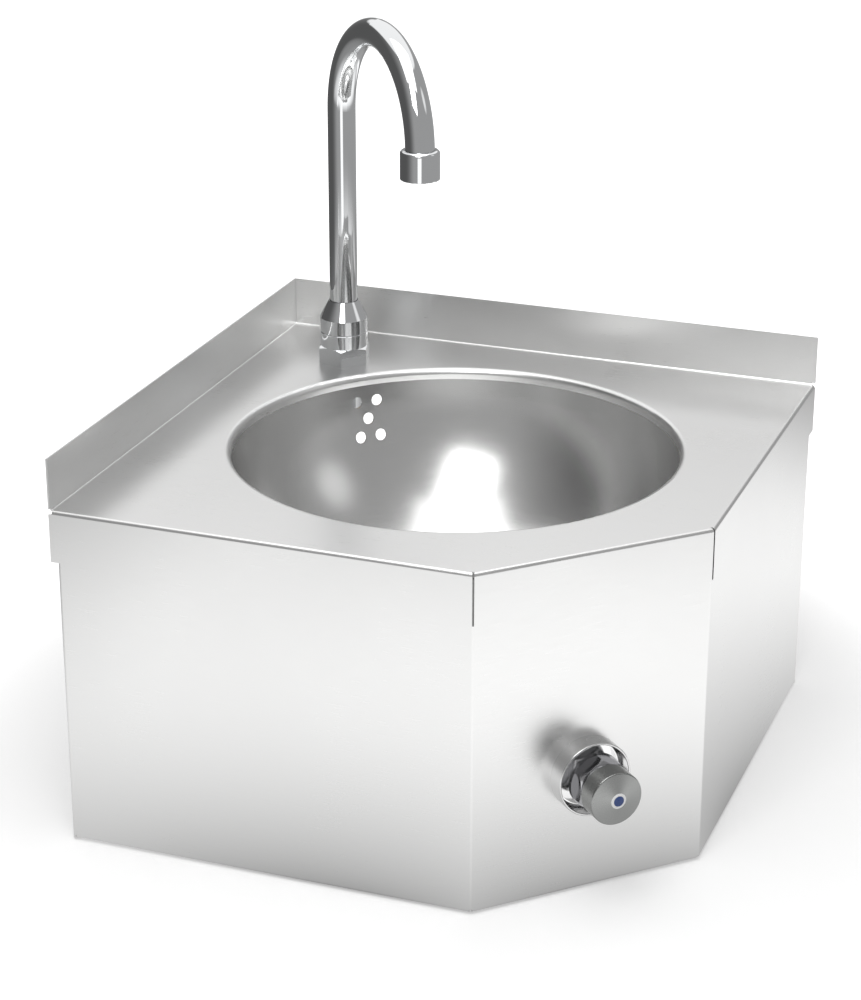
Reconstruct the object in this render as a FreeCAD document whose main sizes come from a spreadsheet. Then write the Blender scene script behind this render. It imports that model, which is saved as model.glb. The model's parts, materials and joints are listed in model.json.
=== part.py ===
import FreeCAD, Part

import math
import os

import Sketcher
from FreeCAD import Placement, Rotation, Vector

# Corner hand wash basin: a folded deck with upstands along two walls, a pressed bowl, a folded skirt,
# a swivel spout in the wall corner and a push valve in the middle of the skirt.
# Millimetres. The origin is the corner of the two walls at deck height. The back wall is y = 0, the
# left wall is x = 0, and the basin stands out from both towards +X and -Y.

SIZES = {
    # folded sheet
    "side": 400.0,
    "corner_cut": 117.2,
    "upstand_height": 35.0,
    "apron_depth": 35.0,
    "body_depth": 233.0,
    "deck_sheet": 1.2,
    "skirt_sheet": 1.2,
    "bend_inside": 1.0,
    "apron_slit": 1.2,
    "slit_relief": 0.8,
    "upstand_seam": 0.4,
    "skirt_drop": 4.0,
    "rear_flange": 25.0,
    "bottom_flange": 15.0,
    "corner_notch": 1.4,
    "foot_slit": 0.5,
    # bowl
    "bowl_reach": 200.0,
    "bowl_opening": 150.0,
    "rim_bend": 4.0,
    "collar_depth": 7.5,
    "bowl_curve": 151.0,
    "bowl_sheet": 1.0,
    "bowl_floor": 134.0,
    "floor_blend": 15.0,
    "overflow_hole": 4.0,
    "overflow_spread": 7.75,
    "overflow_depth": 31.2,
    "overflow_rise": 12.15,
    # waste
    "seat_radius": 36.0,
    "seat_depth": 3.0,
    "drain_hole": 24.0,
    "waste_gap": 0.4,
    "top_seal": 1.2,
    "bottom_seal": 3.0,
    "grid_lip": 4.0,
    "grid_slot_in": 9.0,
    "grid_slot_out": 19.0,
    "grid_slot_half": 2.0,
    "cup_flange": 4.0,
    "cup_wall": 3.0,
    "cup_throat": 9.0,
    "cup_taper": 20.0,
    "tail_radius": 20.95,
    "tail_length": 33.0,
    "bridge_half": 4.0,
    "bridge_depth": 9.0,
    "bridge_height": 8.0,
    "waste_screw_radius": 3.0,
    "waste_screw_head": 5.0,
    "waste_screw_tail": 5.0,
    # wall cleats
    "cleat_thickness": 4.0,
    "cleat_width": 60.0,
    "cleat_height": 140.0,
    "cleat_centre": 130.0,
    "cleat_inset": 12.0,
    "cleat_corner": 4.0,
    "wall_slot_half": 3.5,
    "wall_slot_length": 14.0,
    "wall_slot_reach": 38.0,
    "wall_fix_spacing": 90.0,
    "flange_screw_reach": 6.0,
    "flange_screw_spacing": 80.0,
    "flange_screw_radius": 2.5,
    "flange_screw_head": 4.5,
    "flange_screw_cap": 3.0,
    "thread_fit": 0.05,
    "screw_clearance": 0.25,
    # tap
    "tap_from_bowl": 133.5,
    "tap_hex": 34.0,
    "hex_height": 12.5,
    "tap_radius": 17.15,
    "joint_height": 22.7,
    "joint_groove": 0.4,
    "spigot_radius": 14.5,
    "spigot_top": 30.0,
    "cone_foot": 33.3,
    "cone_top": 46.0,
    "cone_lip": 0.45,
    "shank_radius": 12.0,
    "shank_length": 55.0,
    "deck_hole_gap": 0.5,
    "seal_width": 3.1,
    "seal_height": 1.5,
    "swivel_floor": 4.0,
    "swivel_fit": 0.06,
    "swivel_seat": 26.0,
    "flange_radius": 12.2,
    "flange_play": 0.3,
    "seat_play": 0.05,
    "shoulder_play": 0.2,
    "washer_radius": 20.0,
    "rubber_washer": 2.5,
    "steel_washer": 1.5,
    "locknut_hex": 32.0,
    "locknut_height": 7.0,
    # spout
    "spout_radius": 10.0,
    "spout_wall": 1.5,
    "foot_lift": 2.0,
    "arch_height": 186.0,
    "arch_radius": 66.0,
    "spout_drop": 6.0,
    "end_gap": 1.0,
    "end_bore": 6.5,
    "end_plug": 12.0,
    "ring_groove_depth": 1.1,
    "ring_groove_width": 1.3,
    "ring_low": 8.0,
    "ring_pitch": 6.0,
    "ring_proud": 0.03,
    "nozzle_radius": 13.5,
    "nozzle_lift": 2.0,
    "nozzle_length": 20.0,
    "nozzle_round": 2.5,
    "nozzle_wall": 1.7,
    "nozzle_land": 1.5,
    "nozzle_edge": 0.4,
    "nozzle_washer": 1.5,
    "aerator_recess": 0.6,
    "aerator_plate": 1.8,
    "aerator_wall": 1.6,
    "aerator_hole": 1.1,
    "aerator_ring": 3.9,
    # push valve
    "valve_depth": 150.0,
    "valve_offset": 3.0,
    "barrel_radius": 14.0,
    "barrel_gap": 0.25,
    "cup_radius": 25.0,
    "cup_depth": 13.0,
    "cup_sheet": 1.5,
    "cup_round": 0.6,
    "cup_corner": 2.0,
    "lock_hex": 32.0,
    "lock_front": 12.0,
    "collar_radius": 18.3,
    "collar_front": 15.0,
    "neck_hex": 31.0,
    "neck_front": 23.0,
    "nose_radius": 15.3,
    "nose_front": 33.0,
    "barrel_front": 20.8,
    "bonnet_web": 21.0,
    "spring_seat": 26.0,
    "spring_recess": 9.5,
    "guide_fit": 0.06,
    "stem_radius": 4.0,
    "piston_radius": 5.0,
    "piston_back": 1.5,
    "piston_front": 6.0,
    "stem_ring_depth": 1.0,
    "stem_ring_width": 1.2,
    "stem_ring_back": 3.0,
    "cartridge_radius": 9.0,
    "piston_play": 1.5,
    "cartridge_floor": 2.0,
    "cartridge_port": 1.5,
    "gasket": 2.0,
    "valve_flange_radius": 21.0,
    "valve_flange": 5.8,
    "valve_radius": 19.0,
    "valve_length": 45.0,
    "outlet_radius": 9.0,
    "outlet_length": 12.0,
    "inlet_set_back": 27.0,
    "inlet_radius": 10.48,
    "inlet_length": 15.0,
    "inlet_collar": 12.5,
    "inlet_collar_end": 27.0,
    "inlet_bore": 7.5,
    "inlet_bore_depth": 30.0,
    "filter_wall": 0.6,
    "filter_length": 14.0,
    "filter_rim": 1.0,
    "filter_set_in": 3.0,
    # push button
    "travel": 4.0,
    "cap_radius": 17.6,
    "cap_play": 0.4,
    "cap_front": 40.5,
    "cap_cone": 3.8,
    "cap_gap": 0.5,
    "cap_edge": 0.8,
    "mark_radius": 3.5,
    "mark_ring": 5.15,
    "mark_depth": 1.0,
    "spring_radius": 7.0,
    "spring_wire": 0.6,
    "spring_turns": 4.0,
    # feed pipe
    "pipe_radius": 5.0,
    "pipe_wall": 1.0,
    "pipe_bend": 25.0,
    "pipe_detour": 52.0,
    "pipe_start": 40.0,
    "pipe_pass": 52.5,
    "pipe_return": 55.5,
    "gland_radius": 6.4,
    "gland_depth": 9.5,
    "gland_neck": 7.0,
    "gland_hex": 14.0,
    "gland_height": 6.7,
    "gland_gap": 0.3,
    "olive_length": 2.5,
    "socket_depth": 4.0,
}

HALF_ROOT = math.sqrt(0.5)      # sine and cosine of 45 degrees
BEVEL = math.tan(math.radians(22.5))      # a mitre's run on one face of a 135 degree corner
SLOPE_30 = math.tan(math.radians(30))
CLEARANCE = 1.0      # how far a cutting shape reaches past what it cuts
OVERLAP = 0.5      # how deep one shape reaches into another that it joins
BEND_MARGIN = 0.2      # flat sheet left between a bend and a notch
TOUCHING = 1e-4      # an edge closer than this to a point goes through it
START_INDEX, END_INDEX, CENTRE_INDEX = 1, 2, 3      # a sketch edge's points
ROOT_POINT = (-1, 1)      # a sketch's own origin
GRID_SLOTS = 10
AERATOR_HOLES = (6, 12)      # in each ring, from the middle out
SPOUT_RINGS = 2
QUARTERS = 4      # in a full turn

doc = FreeCAD.newDocument("HandWashBasin")
sheet = doc.addObject("Spreadsheet::Sheet", "Sizes")
pieces = []


class Size:
    """A length together with the sheet expression that gives it."""

    def __init__(self, value, text):
        self.value = float(value)
        self.text = text

    def __add__(self, other):
        other = as_size(other)
        return Size(self.value + other.value, f"({self.text} + {other.text})")

    def __sub__(self, other):
        other = as_size(other)
        return Size(self.value - other.value, f"({self.text} - {other.text})")

    def __mul__(self, other):
        other = as_size(other)
        return Size(self.value * other.value, f"({self.text} * {other.text})")

    def __truediv__(self, other):
        other = as_size(other)
        return Size(self.value / other.value, f"({self.text} / {other.text})")

    def __neg__(self):
        return Size(-self.value, f"(-{self.text})")

    def __radd__(self, other):
        return as_size(other) + self

    def __rsub__(self, other):
        return as_size(other) - self

    def __rmul__(self, other):
        return as_size(other) * self


class Sheet:
    """The driving dimensions by name, each a Size bound to its cell."""


def as_size(number):
    if isinstance(number, Size):
        return number
    return Size(number, f"({float(number)!r})")


def root(size):
    return Size(math.sqrt(size.value), f"sqrt({size.text})")


def fill_sheet():
    """Write one row for each driving dimension: its name, and its value under that alias."""
    sizes = Sheet()
    for row, (name, value) in enumerate(SIZES.items(), 1):
        sheet.set(f"A{row}", name)
        sheet.set(f"B{row}", str(value))
        sheet.setAlias(f"B{row}", name)
        setattr(sizes, name, Size(value, f"Sizes.{name}"))
    return sizes


s = fill_sheet()
doc.recompute()


# ---- drawing helpers ----

def vector(*numbers):
    return Vector(*[as_size(number).value for number in numbers])


def place(item, at, rotation=None):
    """Put an object at a point whose coordinates stay tied to the sheet."""
    item.Placement = Placement(vector(*at), rotation or Rotation())
    for letter, coordinate in zip("xyz", at):
        item.setExpression(f"Placement.Base.{letter}", as_size(coordinate).text)


def add_body(label, at=(0, 0, 0), rotation=None):
    body = doc.addObject("PartDesign::Body", label)
    body.Label = label
    place(body, at, rotation)
    pieces.append(body)
    return body


def sketch_on(body, name, role="XY_Plane", base=(0, 0, 0), turn=0):
    """A sketch on one of the body's own planes, moved by base and turned about the plane's upright."""
    sketch = body.newObject("Sketcher::SketchObject", f"{body.Name}_{name}")
    plane = next(item for item in body.Origin.OriginFeatures if item.Role == role)
    sketch.AttachmentSupport = (plane, [""])
    sketch.MapMode = "FlatFace"
    sketch.AttachmentOffset = Placement(vector(*base), Rotation(Vector(0, 1, 0), turn))
    for letter, coordinate in zip("xyz", base):
        sketch.setExpression(f"AttachmentOffset.Base.{letter}", as_size(coordinate).text)
    return sketch


def tie(sketch, constraint, size):
    """Add a dimension to a sketch and bind it to the sheet."""
    index = sketch.addConstraint(constraint)
    name = f"size{index}"
    sketch.renameConstraint(index, name)
    sketch.setExpression(f"Constraints.{name}", size.text)


def tie_point(sketch, edge, point, x, y):
    tie(sketch, Sketcher.Constraint("DistanceX", *ROOT_POINT, edge, point, x.value), x)
    tie(sketch, Sketcher.Constraint("DistanceY", *ROOT_POINT, edge, point, y.value), y)


def draw_arc(sketch, start, end, radius):
    """Add the arc of under half a turn from start to end, clockwise where the radius is negative."""
    chord = end - start
    rise = math.sqrt(max(radius.value**2 - (chord.Length / 2)**2, 0))
    left = Vector(-chord.y, chord.x, 0).normalize()
    centre = (start + end) / 2 + left * math.copysign(rise, radius.value)
    first, last = (start, end) if radius.value > 0 else (end, start)
    angles = [math.atan2(point.y - centre.y, point.x - centre.x) for point in (first, last)]
    circle = Part.Circle(centre, Vector(0, 0, 1), abs(radius.value))
    edge = sketch.addGeometry(Part.ArcOfCircle(circle, *angles), False)
    size = radius if radius.value > 0 else -radius
    tie(sketch, Sketcher.Constraint("Radius", edge, size.value), size)
    return (edge, START_INDEX, END_INDEX) if radius.value > 0 else (edge, END_INDEX, START_INDEX)


def draw_run(sketch, corners, closed=True):
    """Draw lines and arcs through corners. A corner is (x, y) where a line starts, and
    (x, y, radius) where an arc starts."""
    corners = [tuple(as_size(number) for number in corner) for corner in corners]
    following = corners[1:] + corners[:1]
    edges = []
    for corner, after in list(zip(corners, following))[:len(corners) if closed else -1]:
        start = Vector(corner[0].value, corner[1].value, 0)
        end = Vector(after[0].value, after[1].value, 0)
        if len(corner) == 2:
            edges.append((sketch.addGeometry(Part.LineSegment(start, end), False), START_INDEX, END_INDEX))
        else:
            edges.append(draw_arc(sketch, start, end, corner[2]))
    for (edge, _, tail), (after, head, _) in zip(edges, edges[1:] + edges[:1] if closed else edges[1:]):
        sketch.addConstraint(Sketcher.Constraint("Coincident", edge, tail, after, head))
    for (edge, head, _), corner in zip(edges, corners):
        tie_point(sketch, edge, head, corner[0], corner[1])
    if not closed:
        tie_point(sketch, edges[-1][0], edges[-1][2], corners[-1][0], corners[-1][1])


def draw_circle(sketch, x, y, radius):
    x, y = as_size(x), as_size(y)
    circle = Part.Circle(Vector(x.value, y.value, 0), Vector(0, 0, 1), radius.value)
    edge = sketch.addGeometry(circle, False)
    tie_point(sketch, edge, CENTRE_INDEX, x, y)
    tie(sketch, Sketcher.Constraint("Radius", edge, radius.value), radius)


def draw_box(sketch, left, bottom, right, top):
    draw_run(sketch, [(left, bottom), (right, bottom), (right, top), (left, top)])


def draw_hexagon(sketch, across_flats, first_corner=0):
    """A hexagon round the sketch's origin, one corner at the given angle."""
    reach = across_flats / math.sqrt(3)
    angles = [math.radians(first_corner + 60 * number) for number in range(6)]
    draw_run(sketch, [(reach * math.cos(angle), reach * math.sin(angle)) for angle in angles])


def draw_slot(sketch, x, low, high, half):
    """An upright slot with round ends: each end is two quarter turns."""
    left, right = x - half, x + half
    draw_run(sketch, [
        (right, low + half), (right, high - half, half), (x, high, half),
        (left, high - half), (left, low + half, half), (x, low, half),
    ])


# ---- feature helpers ----

def finish(feature, body):
    """Recompute a feature, make it the body's tip and make sure that it did something."""
    body.Tip = feature
    doc.recompute()
    shape, base = feature.Shape, feature.BaseFeature
    if shape.isNull() or not shape.isValid():
        raise RuntimeError(f"{feature.Name} has no valid shape")
    if base and abs(shape.Volume - base.Shape.Volume) < TOUCHING:
        raise RuntimeError(f"{feature.Name} changed nothing")
    return feature


def feature_on(body, kind, sketch):
    feature = body.newObject(f"PartDesign::{kind}", f"{sketch.Name}_{kind.lower()}")
    feature.Profile = sketch
    return feature


def pad(body, sketch, length, down=False):
    feature = feature_on(body, "Pad", sketch)
    feature.setExpression("Length", length.text)
    feature.Reversed = down
    return finish(feature, body)


def pocket(body, sketch, length=None, forward=False):
    """Cut against the sketch's normal, or along it if forward, right through if no length is given."""
    feature = feature_on(body, "Pocket", sketch)
    if length is None:
        feature.Type = "ThroughAll"
    else:
        feature.setExpression("Length", length.text)
    feature.Reversed = forward
    return finish(feature, body)


def revolve(body, sketch, kind="Revolution"):
    feature = feature_on(body, kind, sketch)
    feature.ReferenceAxis = (sketch, ["V_Axis"])
    feature.Angle = 360
    return finish(feature, body)


def edges_through(shape, points):
    """Names of the edges that pass through the points, one at least for each point."""
    names = []
    for point in points:
        mark = Part.Vertex(vector(*point))
        found = [
            f"Edge{number}" for number, edge in enumerate(shape.Edges, 1)
            if mark.distToShape(edge)[0] < TOUCHING
        ]
        if not found:
            raise RuntimeError(f"no edge goes through {vector(*point)}")
        names.extend(found)
    return names


def round_edges(body, name, radius, points):
    base = body.Tip
    feature = body.newObject("PartDesign::Fillet", f"{body.Name}_{name}")
    feature.Base = (base, edges_through(base.Shape, points))
    feature.setExpression("Radius", radius.text)
    return finish(feature, body)


def ring_of(body, feature, count):
    """Repeat a feature round the body's upright axis."""
    pattern = body.newObject("PartDesign::PolarPattern", f"{feature.Name}_ring")
    pattern.Originals = [feature]
    axis = next(item for item in body.Origin.OriginFeatures if item.Role == "Z_Axis")
    pattern.Axis = (axis, [""])
    pattern.Angle = 360
    pattern.Occurrences = count
    return finish(pattern, body)


def turned(label, section, at=(0, 0, 0), rotation=None):
    """A body turned from a section of (radius, height) corners round its own upright axis."""
    body = add_body(label, at, rotation)
    profile = sketch_on(body, "section", "XZ_Plane")
    draw_run(profile, section)
    revolve(body, profile)
    return body


def add_turned(body, name, section, kind="Revolution"):
    profile = sketch_on(body, name, "XZ_Plane")
    draw_run(profile, section)
    return revolve(body, profile, kind)


def washer(label, inner, outer, bottom, top, at=(0, 0, 0), rotation=None):
    return turned(label, [(inner, bottom), (outer, bottom), (outer, top), (inner, top)], at, rotation)


def crown(body, name, across_flats, face, towards):
    """Turn the corners of a hexagon down at 30 degrees. towards is 1 below a face and -1 above it."""
    flat = across_flats / 2
    past = across_flats / math.sqrt(3) + CLEARANCE
    drop = (past - flat) * SLOPE_30 * towards
    add_turned(body, name, [(flat, face), (past, face), (past, face - drop)], "Groove")


def group(label, items):
    """One node of several separate solids."""
    node = doc.addObject("Part::Compound", label)
    node.Label = label
    node.Links = items
    doc.recompute()
    pieces.append(node)
    return node


# ---- places and directions ----

CORNERWARD = Rotation(Vector(0, 0, 1), -45)      # turns X to the diagonal out of the wall corner
OUTWARD = Rotation(
    Vector(HALF_ROOT, HALF_ROOT, 0), Vector(0, 0, 1), Vector(HALF_ROOT, -HALF_ROOT, 0), "ZXY",
)      # X along the corner panel, Y up, Z out of it

outer_bend = s.deck_sheet + s.bend_inside
skirt_bend = s.skirt_sheet + s.bend_inside
foot_zone = skirt_bend + BEND_MARGIN
bend_zone = outer_bend + BEND_MARGIN
skirt_reach = s.side - s.deck_sheet      # outer faces of the skirt, from the walls
rim_edge = s.bowl_opening + s.rim_bend
curve_centre = root(s.bowl_curve * s.bowl_curve - s.bowl_opening * s.bowl_opening) - s.collar_depth
seat_floor = -s.bowl_floor - s.seat_depth
bowl_at = (s.bowl_reach, -s.bowl_reach, 0)
tap_reach = s.bowl_reach - s.tap_from_bowl
tap_at = (tap_reach, -tap_reach, 0)
panel_distance = (s.side * 2 - s.corner_cut) * HALF_ROOT - s.deck_sheet
flange_screw_line = s.side - s.cleat_inset - s.flange_screw_reach
spout_foot = s.spigot_top + s.foot_lift
cartridge_back = s.travel + s.piston_play + s.cartridge_floor - s.piston_back
cap_back = s.neck_front + s.travel + s.cap_play
cap_ceiling = s.nose_front + s.travel + s.cap_play


def on_diagonal(distance, across, height):
    """A point by its distance from the wall corner along the diagonal and its offset across it."""
    return (
        distance * HALF_ROOT + across * HALF_ROOT,
        across * HALF_ROOT - distance * HALF_ROOT,
        height,
    )


valve_at = on_diagonal(panel_distance, -s.valve_offset, -s.valve_depth)
nozzle_at = on_diagonal(tap_reach * math.sqrt(2) + s.arch_radius * 2, as_size(0), as_size(0))


def front_corner(inset):
    """How far along a wall the front panels meet the corner panel, for faces set in by inset."""
    return s.side - s.corner_cut - inset * BEVEL


def plan(inset, wall):
    """The basin's five-sided plan, its front faces set in, its wall faces moved off the walls."""
    front, bend = s.side - inset, front_corner(inset)
    return [(wall, -wall), (wall, -front), (bend, -front), (front, -bend), (front, -wall)]


# ---- folded sheet ----

def cut_apron_slits(body):
    """Slit the aprons apart at both front corners, with a round relief at the deck end of each slit."""
    half = s.apron_slit / 2
    depth = outer_bend + s.slit_relief / 2
    corners = [(front_corner(0), -s.side, 112.5), (s.side, -front_corner(0), 157.5)]
    for number, (x, y, angle) in enumerate(corners):
        inward = Vector(math.cos(math.radians(angle)), math.sin(math.radians(angle)), 0)
        across = Vector(-inward.y, inward.x, 0)
        slit = sketch_on(body, f"slit{number}")
        draw_run(slit, [
            (x + across.x * half - inward.x * CLEARANCE, y + across.y * half - inward.y * CLEARANCE),
            (x + across.x * half + inward.x * depth, y + across.y * half + inward.y * depth),
            (x - across.x * half + inward.x * depth, y - across.y * half + inward.y * depth),
            (x - across.x * half - inward.x * CLEARANCE, y - across.y * half - inward.y * CLEARANCE),
        ])
        pocket(body, slit)
        relief = sketch_on(body, f"relief{number}")
        draw_circle(relief, x + inward.x * depth, y + inward.y * depth, s.slit_relief)
        pocket(body, relief)


def fold_upstands(body):
    """Fold the deck up along both walls, notched where the upstands meet the aprons."""
    strip = sketch_on(body, "upstand")
    draw_run(strip, [
        (0, 0), (0, -s.side), (s.deck_sheet, -s.side), (s.deck_sheet, -s.deck_sheet),
        (s.side, -s.deck_sheet), (s.side, 0),
    ])
    pad(body, strip, s.upstand_height)
    notches = sketch_on(body, "notches", base=(0, 0, s.deck_sheet))
    draw_box(notches, -CLEARANCE, -s.side - CLEARANCE, bend_zone, -s.side + bend_zone)
    draw_box(notches, s.side - bend_zone, -bend_zone, s.side + CLEARANCE, CLEARANCE)
    pocket(body, notches, s.deck_sheet + bend_zone)
    middle = s.side / 2
    round_edges(body, "wall_bend_out", outer_bend, [
        (0, -middle, -s.deck_sheet), (middle, 0, -s.deck_sheet),
    ])
    round_edges(body, "wall_bend_in", s.bend_inside, [
        (s.deck_sheet, -middle, 0), (middle, -s.deck_sheet, 0),
    ])
    seam = sketch_on(body, "seam", base=(0, 0, outer_bend))
    draw_box(seam, s.deck_sheet, -s.deck_sheet - CLEARANCE, s.deck_sheet + s.upstand_seam, CLEARANCE)
    pocket(body, seam, s.upstand_height, forward=True)


def deck_top():
    body = add_body("deck_top")
    blank = sketch_on(body, "blank")
    draw_run(blank, plan(as_size(0), as_size(0)))
    pad(body, blank, s.apron_depth, down=True)
    front, bend = s.side, front_corner(0)
    round_edges(body, "front_bend_out", outer_bend, [
        (bend / 2, -front, 0), ((front + bend) / 2, -(front + bend) / 2, 0), (front, -bend / 2, 0),
    ])
    hollow = sketch_on(body, "hollow", base=(0, 0, -s.deck_sheet))
    draw_run(hollow, plan(s.deck_sheet, as_size(-CLEARANCE)))
    pocket(body, hollow, s.apron_depth)
    front, bend = s.side - s.deck_sheet, front_corner(s.deck_sheet)
    round_edges(body, "front_bend_in", s.bend_inside, [
        (bend / 2, -front, -s.deck_sheet), ((front + bend) / 2, -(front + bend) / 2, -s.deck_sheet),
        (front, -bend / 2, -s.deck_sheet),
    ])
    cut_apron_slits(body)
    fold_upstands(body)
    openings = sketch_on(body, "openings", base=(0, 0, CLEARANCE))
    draw_circle(openings, s.bowl_reach, -s.bowl_reach, rim_edge)
    draw_circle(openings, tap_reach, -tap_reach, s.shank_radius + s.deck_hole_gap)
    pocket(body, openings, s.deck_sheet + 2 * CLEARANCE)
    collar = sketch_on(body, "collar", "XZ_Plane", base=(s.bowl_reach, 0, s.bowl_reach))
    inside, outside = s.bowl_opening, s.bowl_opening + s.deck_sheet
    draw_run(collar, [
        (rim_edge, 0, s.rim_bend), (inside, -s.rim_bend), (inside, -s.collar_depth),
        (outside, -s.collar_depth), (outside, -s.rim_bend, s.deck_sheet - s.rim_bend),
        (rim_edge, -s.deck_sheet),
    ])
    revolve(body, collar)
    return body


def bowl():
    """The pressed bowl, butt-welded under the deck's collar, with a recessed seat for the waste."""
    body = add_body("bowl", bowl_at)
    inside, outside = s.bowl_curve, s.bowl_curve + s.bowl_sheet

    def radius_at(curve, height):
        drop = curve_centre - height
        return root(curve * curve - drop * drop)

    floor, under = -s.bowl_floor, -s.bowl_floor - s.bowl_sheet
    wall = s.seat_radius + s.bowl_sheet
    profile = sketch_on(body, "section", "XZ_Plane")
    draw_run(profile, [
        (s.bowl_opening, -s.collar_depth, -inside), (radius_at(inside, floor), floor),
        (s.seat_radius, floor), (s.seat_radius, seat_floor), (s.drain_hole, seat_floor),
        (s.drain_hole, seat_floor - s.bowl_sheet), (wall, seat_floor - s.bowl_sheet), (wall, under),
        (radius_at(outside, under), under, outside),
        (radius_at(outside, -s.collar_depth), -s.collar_depth),
    ])
    revolve(body, profile)
    round_edges(body, "blend", s.floor_blend, [
        (radius_at(inside, floor), 0, floor), (radius_at(outside, under), 0, under),
    ])
    holes = sketch_on(body, "overflow", "XZ_Plane", turn=45)
    for across, up in ((-1, 1), (1, 1), (0, 0), (-1, -1), (1, -1)):
        height = s.overflow_rise * up - s.overflow_depth
        draw_circle(holes, s.overflow_spread * across, height, s.overflow_hole)
    pocket(body, holes)
    return body


def beside(corner, run, along, inward):
    """A point so far along a run of sheet from a corner, and so far in from its face."""
    return (
        corner[0] + run.x * along - run.y * inward,
        corner[1] + run.y * along + run.x * inward,
    )


def foot_strip(start, end, run, mitred):
    """The inturned flange of a panel from start to end. Its ends are square, and mitred past the bend."""
    width = s.bottom_flange
    first, last = [s.corner_notch if cut else foot_zone + s.foot_slit for cut in mitred]
    mitre = (width - foot_zone) * BEVEL
    first_in, last_in = [near + mitre if cut else near for near, cut in zip((first, last), mitred)]
    return [
        beside(start, run, first, as_size(0)), beside(end, run, -last, as_size(0)),
        beside(end, run, -last, foot_zone), beside(end, run, -last_in, width),
        beside(start, run, first_in, width), beside(start, run, first, foot_zone),
    ]


def foot_notch(corner, arriving, leaving):
    """The relief at the foot of a front bend, square to the panels on both sides of it."""
    notch, outside = s.corner_notch, as_size(-2 * CLEARANCE)
    return [
        beside(corner, arriving, -notch, outside), beside(corner, arriving, -notch, foot_zone),
        beside(corner, leaving, notch, foot_zone), beside(corner, leaving, notch, outside),
    ]


def foot_slit(corner, run, along):
    """The slit that parts the foot from the bend beside a wall, which goes straight down."""
    outside, end = as_size(-2 * CLEARANCE), along + s.foot_slit
    return [
        beside(corner, run, along, outside), beside(corner, run, along, foot_zone),
        beside(corner, run, end, foot_zone), beside(corner, run, end, outside),
    ]


def skirt():
    """Three panels in one folded sheet, flanged back along the walls and in along the foot."""
    body = add_body("skirt")
    wall, sheet_in = s.cleat_thickness, s.deck_sheet + s.skirt_sheet
    front, bend = skirt_reach, front_corner(s.deck_sheet)
    front_in, bend_in = s.side - sheet_in, front_corner(sheet_in)
    wall_in = wall + s.skirt_sheet
    flange = front - s.rear_flange
    outline = sketch_on(body, "panels", base=(0, 0, -s.skirt_drop))
    draw_run(outline, [
        (wall, -flange), (wall, -front), (bend, -front), (front, -bend), (front, -wall),
        (flange, -wall), (flange, -wall_in), (front_in, -wall_in), (front_in, -bend_in),
        (bend_in, -front_in), (wall_in, -front_in), (wall_in, -flange),
    ])
    pad(body, outline, s.body_depth - s.skirt_drop, down=True)
    half = s.body_depth / 2
    outer = [(wall, -front, -half), (bend, -front, -half), (front, -bend, -half), (front, -wall, -half)]
    round_edges(body, "upright_bend_out", skirt_bend, outer)
    round_edges(body, "upright_bend_in", s.bend_inside, [
        (wall_in, -front_in, -half), (bend_in, -front_in, -half), (front_in, -bend_in, -half),
        (front_in, -wall_in, -half),
    ])
    corners = [(wall, -front), (bend, -front), (front, -bend), (front, -wall)]
    runs = [Vector(1, 0, 0), Vector(HALF_ROOT, HALF_ROOT, 0), Vector(0, 1, 0)]
    strips = sketch_on(body, "foot", base=(0, 0, -s.body_depth))
    for number in range(3):
        ends = corners[number], corners[number + 1]
        draw_run(strips, foot_strip(*ends, runs[number], (number > 0, number < 2)))
    pad(body, strips, s.skirt_sheet)
    notches = sketch_on(body, "notches", base=(0, 0, -s.body_depth - CLEARANCE))
    for number in (1, 2):
        draw_run(notches, foot_notch(corners[number], runs[number - 1], runs[number]))
    draw_run(notches, foot_slit(corners[0], runs[0], foot_zone))
    draw_run(notches, foot_slit(corners[3], runs[2], -foot_zone - s.foot_slit))
    pocket(body, notches, foot_zone + CLEARANCE, forward=True)
    foot, top = -s.body_depth, -s.body_depth + s.skirt_sheet
    round_edges(body, "foot_bend_out", skirt_bend, [
        (bend / 2, -front, foot), ((front + bend) / 2, -(front + bend) / 2, foot), (front, -bend / 2, foot),
    ])
    round_edges(body, "foot_bend_in", s.bend_inside, [
        (bend / 2, -front_in, top), ((front_in + bend_in) / 2, -(front_in + bend_in) / 2, top),
        (front_in, -bend / 2, top),
    ])
    hole = sketch_on(body, "valve_hole", "XZ_Plane", turn=45)
    draw_circle(hole, -s.valve_offset, -s.valve_depth, s.barrel_radius + s.barrel_gap)
    pocket(body, hole, forward=True)
    screw_hole = s.flange_screw_radius + s.screw_clearance
    for role, sign in (("YZ_Plane", -1), ("XZ_Plane", 1)):
        holes = sketch_on(body, f"{role}_screws", role)
        for up in (-1, 1):
            height = s.flange_screw_spacing / 2 * up - s.cleat_centre
            draw_circle(holes, flange_screw_line * sign, height, screw_hole)
        pocket(body, holes, wall_in + CLEARANCE, forward=True)
    return body


def wall_cleat(label, at, rotation):
    """A plate that is fixed to the wall through two slots. X runs towards the wall corner."""
    body = add_body(label, at, rotation)
    blank = sketch_on(body, "blank")
    half = s.cleat_height / 2
    draw_box(blank, 0, -half, s.cleat_width, half)
    pad(body, blank, s.cleat_thickness)
    middle = s.cleat_thickness / 2
    round_edges(body, "corners", s.cleat_corner, [
        (0, -half, middle), (0, half, middle), (s.cleat_width, -half, middle), (s.cleat_width, half, middle),
    ])
    holes = sketch_on(body, "holes", base=(0, 0, s.cleat_thickness))
    for up in (-1, 1):
        centre = s.wall_fix_spacing / 2 * up
        reach = s.wall_slot_length / 2
        draw_slot(holes, s.wall_slot_reach, centre - reach, centre + reach, s.wall_slot_half)
        thread = s.flange_screw_radius + s.thread_fit
        draw_circle(holes, s.flange_screw_reach, s.flange_screw_spacing / 2 * up, thread)
    pocket(body, holes)
    return body


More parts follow.
